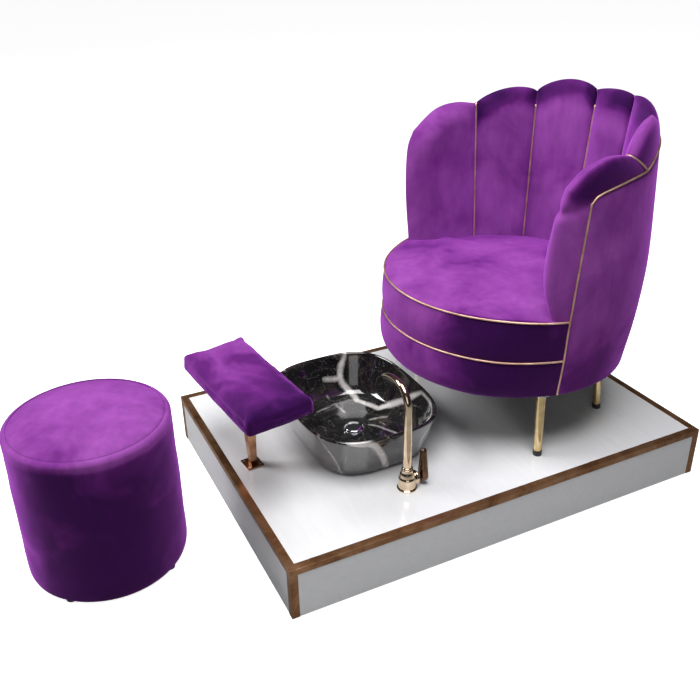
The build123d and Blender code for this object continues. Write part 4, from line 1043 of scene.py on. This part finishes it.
def build_pad():
    """Upholstered block: boxed cushion with crisp seams, a crowned top and a rounded underside edge."""
    centre = Vector(((PAD_LO.x + PAD_HI.x) / 2, (PAD_LO.y + PAD_HI.y) / 2, (PAD_LO.z + PAD_HI.z) / 2))
    work = bmesh.new()
    bmesh.ops.create_cube(work, size=2.0)
    bmesh.ops.subdivide_edges(work, edges=work.edges[:], cuts=39, use_grid_fill=True)
    half = PAD_SIZE / 2
    radius = 0.011
    core = half - Vector((radius, radius, radius))
    turn = Matrix.Rotation(REST_YAW, 3, "Z") @ Matrix.Rotation(REST_TILT, 3, "X")
    for vert in work.verts:
        u = vert.co.copy()
        box = Vector((u.x * half.x, u.y * half.y, u.z * half.z))
        near = Vector(tuple(min(max(box[i], -core[i]), core[i]) for i in range(3)))
        out = box - near
        point = near + out.normalized() * radius if out.length > 1e-9 else box
        edge_x = 1 - abs(point.x / half.x) ** 6
        edge_y = 1 - abs(point.y / half.y) ** 4
        if u.z > 0:
            point.z += 0.0040 * edge_x * edge_y * u.z
        side = 1 - (point.z / half.z) ** 2
        point.y += math.copysign(0.0022, u.y) * max(side, 0) * abs(u.y) ** 8 * edge_x
        point.x += math.copysign(0.0018, u.x) * max(side, 0) * abs(u.x) ** 12 * edge_y
        lump = 0.0012 * wander(point, 14.0, 51) + 0.0006 * wander(point, 40.0, 52)
        flat = Vector((0, 0, math.copysign(1, u.z)))
        point += (out.normalized() if out.length > 1e-9 else flat) * lump
        if u.z < -0.6:
            point.z = max(point.z, -half.z)
        vert.co = centre + turn @ point
    mesh = bpy.data.meshes.new("pad")
    work.to_mesh(mesh)
    verts = [v.co.copy() for v in mesh.vertices]
    faces = [tuple(p.vertices) for p in mesh.polygons]
    work.free()
    pad = make_object("footrest_cushion", verts, faces, PAD_VELVET, "purple_velvet", "footrest_top")
    inflate(pad, lambda co: co.z < PAD_LO.z + 0.004, 3.0, 0.005)
    # painted shade towards the +X end, painted light towards -X
    paint_velvet_shading(pad, lambda point: lerp(-0.1, 0.75, smooth(-0.16, 0.16, point.x)))
    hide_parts("footrest_pad")


# ================================================================ pouf
POUF_SEAM_R = 0.182
POUF_EDGE = 0.016                          # rounding of the side's top edge
POUF_LEAN = Vector((0.016, 0.003, 0.0))    # the soft top stands this far off its base


def pouf_painted_shading(point):
    """Painted shading of the pouf: painted light on the lid and the shoulder, painted shade down the side
    that faces +X and towards the bottom.
    """
    turn = math.atan2(point.y - (POUF_LO.y + POUF_HI.y) / 2, point.x - (POUF_LO.x + POUF_HI.x) / 2)
    facing = 0.5 + 0.5 * math.cos(turn - math.radians(5))
    side = lerp(-0.5, 1.0, smooth(0.28, 0.80, facing)) + lerp(0.35, -0.15, smooth(0.05, 0.33, point.z))
    return lerp(side, -0.5, smooth(POUF_HI.z - 0.030, POUF_HI.z - 0.008, point.z))


def pouf_rings(profile, folds):
    """Rings of (radius, height) about the pouf's axis; folds is the depth of its slight waves."""
    centre = Vector(((POUF_LO.x + POUF_HI.x) / 2, (POUF_LO.y + POUF_HI.y) / 2, 0.0))
    segments = 200
    rings = []
    for radius, height in profile:
        middle = centre + POUF_LEAN * (height / POUF_TOP_Z - 0.5)
        ring = []
        for i in range(segments):
            turn = 2 * math.pi * i / segments
            wave = (wander((math.cos(turn) * 2.6, math.sin(turn) * 2.6, height * 3), 1.0, 61)
                    + 0.6 * wander((math.cos(turn) * 4, math.sin(turn) * 4, height * 22), 1.0, 62))
            reach = radius + folds(height) * wave
            ring.append(middle + Vector((reach * math.cos(turn), reach * math.sin(turn), height)))
        rings.append(ring)
    return rings


def build_pouf():
    """Round pouf: a velvet side rounded over its top edge, and a crowned lid sewn in behind a seam."""
    radius = (POUF_HI.x - POUF_LO.x) / 2
    seam_z = POUF_HI.z + 0.0035
    side = [(radius - 0.011, 0.0085), (radius - 0.008, 0.0088), (radius - 0.0045, 0.012),
            (radius - 0.002, 0.019), (radius - 0.0006, 0.028)]
    straight_top = seam_z - 0.011
    for step in range(0, 41):
        t = step / 40
        side.append((radius - 0.0025 * smooth(0.35, 1.0, t), lerp(0.036, straight_top, t)))
    for step in range(1, 13):
        t = math.pi / 2 * step / 12
        reach = radius - 0.0025 - POUF_EDGE * (1 - math.cos(t))
        reach = lerp(reach, POUF_SEAM_R, smooth(0.9, 1.0, step / 12))
        side.append((reach, straight_top + 0.0125 * math.sin(t)))
    side += [(POUF_SEAM_R - 0.0003, seam_z - 0.003), (POUF_SEAM_R - 0.004, seam_z - 0.004)]

    def low_waves(height):
        """Depth of the side's folds, none at its bottom and its seam."""
        return 0.0018 * smooth(0.0, 0.05, height) * smooth(seam_z, seam_z - 0.05, height)

    body = make_object("pouf_side", *stack(pouf_rings(side, low_waves)), POUF_VELVET, "purple_velvet", "pouf")
    paint_velvet_shading(body, pouf_painted_shading)
    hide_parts("pouf_cover")
    rise = POUF_TOP_Z - 0.002 - seam_z
    lid = [(POUF_SEAM_R - 0.008, seam_z - 0.0032), (POUF_SEAM_R - 0.0012, seam_z - 0.0028),
           (POUF_SEAM_R - 0.0006, seam_z - 0.001), (POUF_SEAM_R - 0.002, seam_z + 0.0022)]
    for step in range(1, 30):
        share = 1 - step / 30
        reach = (POUF_SEAM_R - 0.003) * share
        lid.append((reach, seam_z + 0.0022 + (rise - 0.0022) * (1 - share ** 3.2) ** 0.8))

    def top_waves(height):
        """Depth of the lid's folds, none at its seam."""
        return 0.0010 * smooth(seam_z, seam_z + 0.01, height)

    cap = make_object("pouf_lid", *stack(pouf_rings(lid, top_waves)), POUF_VELVET, "purple_velvet", "pouf")
    inflate(cap, lambda co: co.z < seam_z + 0.001, 3.0, 0.004)
    paint_velvet_shading(cap, pouf_painted_shading)
    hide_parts("pouf_cushion")


# ================================================================ basin
SQUARENESS = 3.2
RIM = Vector((0.238, 0.188))
BASIN_H = BASIN_HI.z - BASIN_LO.z
# (inset in X, share of it in Y, height) of the bowl's outside from the deck up, then the inside down
OUTSIDE = [(0.058, 0.7, 0.0), (0.0535, 0.7, 0.0015), (0.046, 0.7, 0.008), (0.037, 0.7, 0.024),
           (0.030, 0.7, 0.045), (0.020, 0.7, 0.070), (0.0115, 0.7, 0.096), (0.0035, 0.7, 0.120),
           (0.0008, 0.7, 0.129),
           (0.0012, 0.75, 0.1325), (0.0035, 0.8, 0.1347), (0.0058, 0.8, 0.1350)]
INSIDE = [(0.0080, 0.8, 0.1342), (0.0100, 0.8, 0.1318), (0.0115, 0.8, 0.126), (0.0165, 0.8, 0.112),
          (0.024, 0.8, 0.095), (0.033, 0.8, 0.073), (0.043, 0.8, 0.050), (0.052, 0.8, 0.036),
          (0.062, 0.8, 0.0262), (0.076, 0.8, 0.0205), (0.092, 0.8, 0.018)]
FLOOR_H = INSIDE[-1][2]
# veins drawn one by one: half width and a few points as (angle, level); level 0 is the foot of the wall,
# 1 the rim, and below 0 lies on the floor, down to -1 at the drain
INSIDE_VEINS = [
    (0.0080, [(160, 1.0), (165, 0.4), (150, 0.0), (120, 0.0), (90, 0.4), (70, 0.9)]),
    (0.0055, [(165, 0.4), (180, 0.5)]),
    (0.0030, [(70, 0.9), (50, 0.9), (30, 0.7)]),
    (0.0045, [(-70, 1.0), (-60, 0.4), (-35, 0.1)]),
    (0.0014, [(180, 0.1), (170, -0.4)]),
    (0.0014, [(205, -0.1), (175, 0.0)]),
    (0.0014, [(110, -0.5), (95, 0.0)]),
    (0.0014, [(90, -0.6), (60, -0.3), (45, 0.0)]),
]
OUTSIDE_VEINS = [
    (0.0085, [(-30, 1.0), (-15, 0.9), (-5, 0.4), (0, 0.0)]),
    (0.0014, [(-50, 1.0), (-40, 0.5), (-35, 0.0)]),
    (0.0030, [(30, 0.9), (25, 0.5), (35, 0.1)]),
    (0.0065, [(-150, 1.0), (-170, 0.4), (-190, 0.0)]),
    (0.0030, [(110, 1.0), (105, 0.6), (125, 0.0)]),
    (0.0050, [(-105, 1.0), (-100, 0.6), (-120, 0.1)]),
]


def rounded_square(inset, share, turn):
    """Point of the basin's outline |x/a|^n + |y/b|^n = 1 for a parameter angle."""
    a, b = RIM.x - inset, RIM.y - inset * share
    c, s = math.cos(turn), math.sin(turn)
    power = 2 / SQUARENESS
    return (a * math.copysign(abs(c) ** power, c), b * math.copysign(abs(s) ** power, s))


def on_bowl(rows, low, angle, level):
    """Point on the bowl's skin, whose rows are its profile and low the height of the foot of its wall."""
    height = lerp(low, BASIN_H, min(max(level, 0.0), 1.0))
    by_height = sorted((row[2], row[0], row[1]) for row in rows)
    inset = table_value([(h, inset) for h, inset, _ in by_height], height)
    share = table_value([(h, share) for h, _, share in by_height], height)
    a, b = RIM.x - inset, RIM.y - inset * share
    c, s = math.cos(math.radians(angle)), math.sin(math.radians(angle))
    reach = ((abs(c) / a) ** SQUARENESS + (abs(s) / b) ** SQUARENESS) ** (-1 / SQUARENESS)
    reach *= 1 + min(level, 0.0)
    return BASIN + Vector((reach * c, reach * s, height))


def build_basin():
    """Vessel basin with a rounded rim, dense enough to carry its veins as a point attribute."""
    segments = 280
    rings = []
    profile = through(OUTSIDE, 48) + through(INSIDE, 48)
    for inset, share, height in profile:
        rings.append([Vector((*rounded_square(inset, share, 2 * math.pi * i / segments), height)) + BASIN
                      for i in range(segments)])
    inner_floor = rings[-1]
    hole = 0.0225
    for step in range(1, 13):
        t = step / 12
        ring = []
        for i, p in enumerate(inner_floor):
            turn = math.atan2(p.y - BASIN.y, p.x)
            drain = Vector((hole * math.cos(turn), hole * math.sin(turn) + BASIN.y, BASIN.z + 0.018))
            ring.append(lerp(p, drain, t))
        rings.append(ring)
    rings.append([Vector((p.x, p.y, BASIN.z)) for p in rings[-1]])
    verts = [p for ring in rings for p in ring]
    faces = ring_faces(len(rings), segments)
    last = (len(rings) - 1) * segments
    faces += [(last + i, last + (i + 1) % segments, (i + 1) % segments, i) for i in range(segments)]
    marble_skin = MATERIALS["marble_ceramic"]
    basin = make_object("marble_basin", verts, faces, marble_skin, "marble_ceramic", "platform")
    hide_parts("basin_bowl")
    samples, widths = [], []
    for veins, rows, low in ((INSIDE_VEINS, INSIDE, FLOOR_H), (OUTSIDE_VEINS, OUTSIDE, 0.0)):
        for half, points in veins:
            fine = through(points, 32 * (len(points) - 1))
            for k, (angle, level) in enumerate(fine):
                taper = min(1.0, 0.45 + 6 * min(k, len(fine) - 1 - k) / len(fine))
                samples.append(on_bowl(rows, low, angle, level))
                widths.append(half * taper)
    tree = KDTree(len(samples))
    for i, p in enumerate(samples):
        tree.insert(p, i)
    tree.balance()
    values = []
    for vert in basin.data.vertices:
        shifted = vert.co + Vector((0.0040 * wander(vert.co, 22.0, 71), 0.0040 * wander(vert.co, 22.0, 72),
                                    0.0040 * wander(vert.co, 22.0, 73)))
        best = min(distance - widths[i] for _, i, distance in tree.find_n(shifted, 6))
        values.append(min(max(best, -0.02), 0.5))
    layer = basin.data.attributes.new("vein", "FLOAT", "POINT")
    layer.data.foreach_set("value", values)


def build_plug():
    """Domed chrome plug with a soft edge."""
    lo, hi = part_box("drain_plug")
    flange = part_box("drain_flange")[1].z
    radius = (hi.x - lo.x) / 2
    stem = 0.005
    rise = hi.z - flange
    profile = [(stem, lo.z), (stem, flange + 0.0004), (radius - 0.001, flange + 0.0004),
               (radius, flange + 0.0013), (radius - 0.0006, flange + 0.0027),
               (radius * 0.93, flange + 0.0036)]
    profile += [(radius * 0.93 * math.cos(t), flange + 0.0036 + (rise - 0.0036) * math.sin(t))
                for t in (math.radians(d) for d in range(8, 86, 7))]
    plug = make_object("plug_dome", *lathe(profile, Vector((0, BASIN.y, 0))), MATERIALS["waste_chrome"],
                       "waste_chrome", "waste_plug")
    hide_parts("drain_plug")


# ================================================================ mixer tap
def build_tap():
    """Bell-shaped body with a boss for the cartridge, a tapering swan-neck and a teardrop lever."""
    base = Vector((TAP.x, TAP.y, 0.0))
    foot = TAP.z
    top = SPOUT_LO.z
    profile = [(0.0225, foot), (0.0228, foot + 0.002), (0.0228, foot + 0.006), (0.0221, foot + 0.009),
               (0.0223, foot + 0.020), (0.0226, foot + 0.0255), (0.0221, foot + 0.0285),
               (0.0205, foot + 0.0305), (0.0197, foot + 0.034), (0.0190, foot + 0.0385),
               (0.0172, foot + 0.0435), (0.0155, foot + 0.0470),
               (0.0150, top - 0.0040), (0.0150, top - 0.0012), (0.0143, top - 0.0002)]
    body = lathe(profile, base)
    boss_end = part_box("cartridge_cap")[0].y - TAP.y
    lever_z = LEVER_LO.z + 0.017
    boss = lathe([(0.0165, 0.0), (0.0178, boss_end - 0.004), (0.0181, boss_end - 0.001), (0.0176, boss_end)],
                 Vector((TAP.x, TAP.y, lever_z)), axis="y")
    cast = make_object("tap_body", *merged(body, boss), MATERIALS["pale_gold"], "pale_gold", "platform")
    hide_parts("faucet_body")
    rise = 0.378
    bend = 0.055
    reach = 0.122
    path = [(TAP.x, TAP.y, lerp(top, rise, i / 18)) for i in range(19)]
    path += [(TAP.x - bend + bend * math.cos(t), TAP.y, rise + bend * math.sin(t))
             for t in (math.pi / 2 * i / 14 for i in range(1, 15))]
    fall = 0.018
    droop = reach - bend
    radius = (droop ** 2 + fall ** 2) / (2 * fall)
    end = math.asin(droop / radius)
    path += [(TAP.x - bend - radius * math.sin(t), TAP.y, rise + bend - radius + radius * math.cos(t))
             for t in (end * i / 14 for i in range(1, 15))]
    lengths = [0.0]
    for a, b in zip(path, path[1:]):
        lengths.append(lengths[-1] + (Vector(b) - Vector(a)).length)
    widths = [(0.0, 0.0122), (0.45, 0.0104), (0.60, 0.0098), (0.78, 0.0088), (0.93, 0.0074), (1.0, 0.0068)]
    radii = [table_value(widths, s / lengths[-1]) for s in lengths]
    neck = tube(path, radii, 28)
    collar = lathe([(0.0125, top + 0.0003), (0.0142, top + 0.0008), (0.0142, top + 0.0042),
                    (0.0128, top + 0.0056), (0.0120, top + 0.0060)], base)
    spout = make_object("swan_neck", *merged(neck, collar), MATERIALS["pale_gold"], "pale_gold", "spout")
    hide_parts("spout_tube")
    build_lever(lever_z)


def build_lever(hub_z):
    """Plump teardrop lever: wide and round at the hub, narrow at its top."""
    hub, tip, rise = 0.0170, 0.0075, 0.072
    depth = (LEVER_HI.y - LEVER_LO.y) / 2
    middle_y = (LEVER_HI.y + LEVER_LO.y) / 2
    lean = math.asin((hub - tip) / rise)
    outline = []
    for i in range(33):
        turn = math.radians(lerp(180, 360, i / 32)) + lerp(-lean, lean, i / 32)
        outline.append((hub * math.cos(turn), hub * math.sin(turn)))
    for i in range(21):
        turn = lerp(lean, math.pi - lean, i / 20)
        outline.append((tip * math.cos(turn), rise + tip * math.sin(turn)))
    rings = []
    for step in range(25):
        off = math.sin(math.radians(lerp(-88, 88, step / 24)))
        share = (1 - abs(off) ** 2.6) ** (1 / 2.6)
        ring = []
        for x, z in outline:
            axis_z = min(max(z, 0.0), rise)
            thick = lerp(1.0, 0.72, axis_z / rise)
            ring.append(Vector((TAP.x + x * share, middle_y + off * depth * thick,
                                hub_z + axis_z + (z - axis_z) * share)))
        rings.append(ring)
    lever = make_object("tap_lever", *stack(rings), MATERIALS["lever_bronze"], "lever_bronze", "lever")
    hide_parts("lever_handle")


# ================================================================ stage, lights and camera
def seen_or_not(tree, seen, unseen):
    """Mixes two shaders: one for what the camera sees directly, one for bounced light."""
    path = tree.nodes.new("ShaderNodeLightPath")
    mix = tree.nodes.new("ShaderNodeMixShader")
    tree.links.new(path.outputs["Is Camera Ray"], mix.inputs[0])
    tree.links.new(unseen.outputs[0], mix.inputs[1])
    tree.links.new(seen.outputs[0], mix.inputs[2])
    return mix


def build_world():
    """White to look at; as a light, bright overhead and to the sitter's right, dim beside the armrest."""
    world = bpy.data.worlds.new("studio")
    world.use_nodes = True
    tree = world.node_tree
    unseen = tree.nodes["Background"]
    seen = tree.nodes.new("ShaderNodeBackground")
    seen.inputs["Strength"].default_value = 1.0
    source = tree.nodes.new("ShaderNodeTexCoord")
    facing = tree.nodes.new("ShaderNodeVectorMath")
    facing.operation = "DOT_PRODUCT"
    facing.inputs[1].default_value = Vector(SKY_BRIGHT).normalized()
    tree.links.new(source.outputs["Generated"], facing.inputs[0])
    spread = tree.nodes.new("ShaderNodeMapRange")
    spread.inputs["From Min"].default_value = -0.1
    spread.inputs["From Max"].default_value = 0.95
    spread.inputs["To Min"].default_value = SKY_LOW
    spread.inputs["To Max"].default_value = SKY_HIGH
    tree.links.new(facing.outputs["Value"], spread.inputs["Value"])
    tree.links.new(spread.outputs["Result"], unseen.inputs["Strength"])
    mix = seen_or_not(tree, seen, unseen)
    tree.links.new(mix.outputs[0], tree.nodes["World Output"].inputs["Surface"])
    bpy.context.scene.world = world


def build_floor():
    """White floor that shows contact shadows; it bounces less light than it shows."""
    verts, faces = lathe([(30.0, -0.0006), (30.0, -0.0005)], Vector((0, 0, 0)), 64)
    mesh = bpy.data.meshes.new("floor")
    mesh.from_pydata([tuple(v) for v in verts], [], faces)
    floor = bpy.data.objects.new("studio_floor", mesh)
    bpy.context.scene.collection.objects.link(floor)
    mat = material("studio_floor", (0.93, 0.93, 0.93), 0.8, Emission_Color=(1.0, 1.0, 1.0, 1.0),
                   Emission_Strength=0.92)
    grey = node(mat, "ShaderNodeBsdfDiffuse", Color=(0.34, 0.34, 0.34, 1.0))
    mix = seen_or_not(mat.node_tree, shader_of(mat), grey)
    mat.node_tree.links.new(mix.outputs[0], mat.node_tree.nodes["Material Output"].inputs["Surface"])
    mesh.materials.append(mat)


def area_light(name, place, target, size, power, colour=(1.0, 1.0, 1.0)):
    """A square soft light that looks at a target."""
    data = bpy.data.lights.new(name, "AREA")
    data.size = size
    data.energy = power
    data.color = colour
    light = bpy.data.objects.new(name, data)
    bpy.context.scene.collection.objects.link(light)
    light.location = place
    light.rotation_euler = (Vector(target) - Vector(place)).to_track_quat("-Z", "Y").to_euler()


def build_camera():
    """Camera of the photograph's view."""
    a, e, r = (math.radians(v) for v in (CAMERA_AZIMUTH, CAMERA_ELEVATION, CAMERA_ROLL))
    back = Vector((math.sin(a) * math.cos(e), -math.cos(a) * math.cos(e), math.sin(e)))
    right = Vector((0, 0, 1)).cross(back).normalized()
    up = back.cross(right)
    turned_right = right * math.cos(r) + up * math.sin(r)
    turned_up = up * math.cos(r) - right * math.sin(r)
    data = bpy.data.cameras.new("camera")
    data.lens = CAMERA_LENS
    data.sensor_width = 36.0
    camera = bpy.data.objects.new("camera", data)
    bpy.context.scene.collection.objects.link(camera)
    turn = Matrix((turned_right, turned_up, back)).transposed()
    camera.matrix_world = Matrix.Translation(CAMERA_PLACE) @ turn.to_4x4()
    bpy.context.scene.camera = camera


build_camera()
build_world()
build_floor()
area_light("key", (-2.2, -3.0, 3.2), (0, 0, 0.5), 1.8, 140)
area_light("top", (0.8, -0.3, 4.0), (0, 0, 0.4), 2.6, 150)
area_light("fill", (3.4, -1.4, 1.8), (0, 0, 0.4), 2.0, 14)
bpy.context.scene.view_settings.view_transform = "Standard"

dress_cad_nodes()
build_shell()
build_seat()
build_pad()
build_pouf()
build_basin()
build_plug()
build_tap()
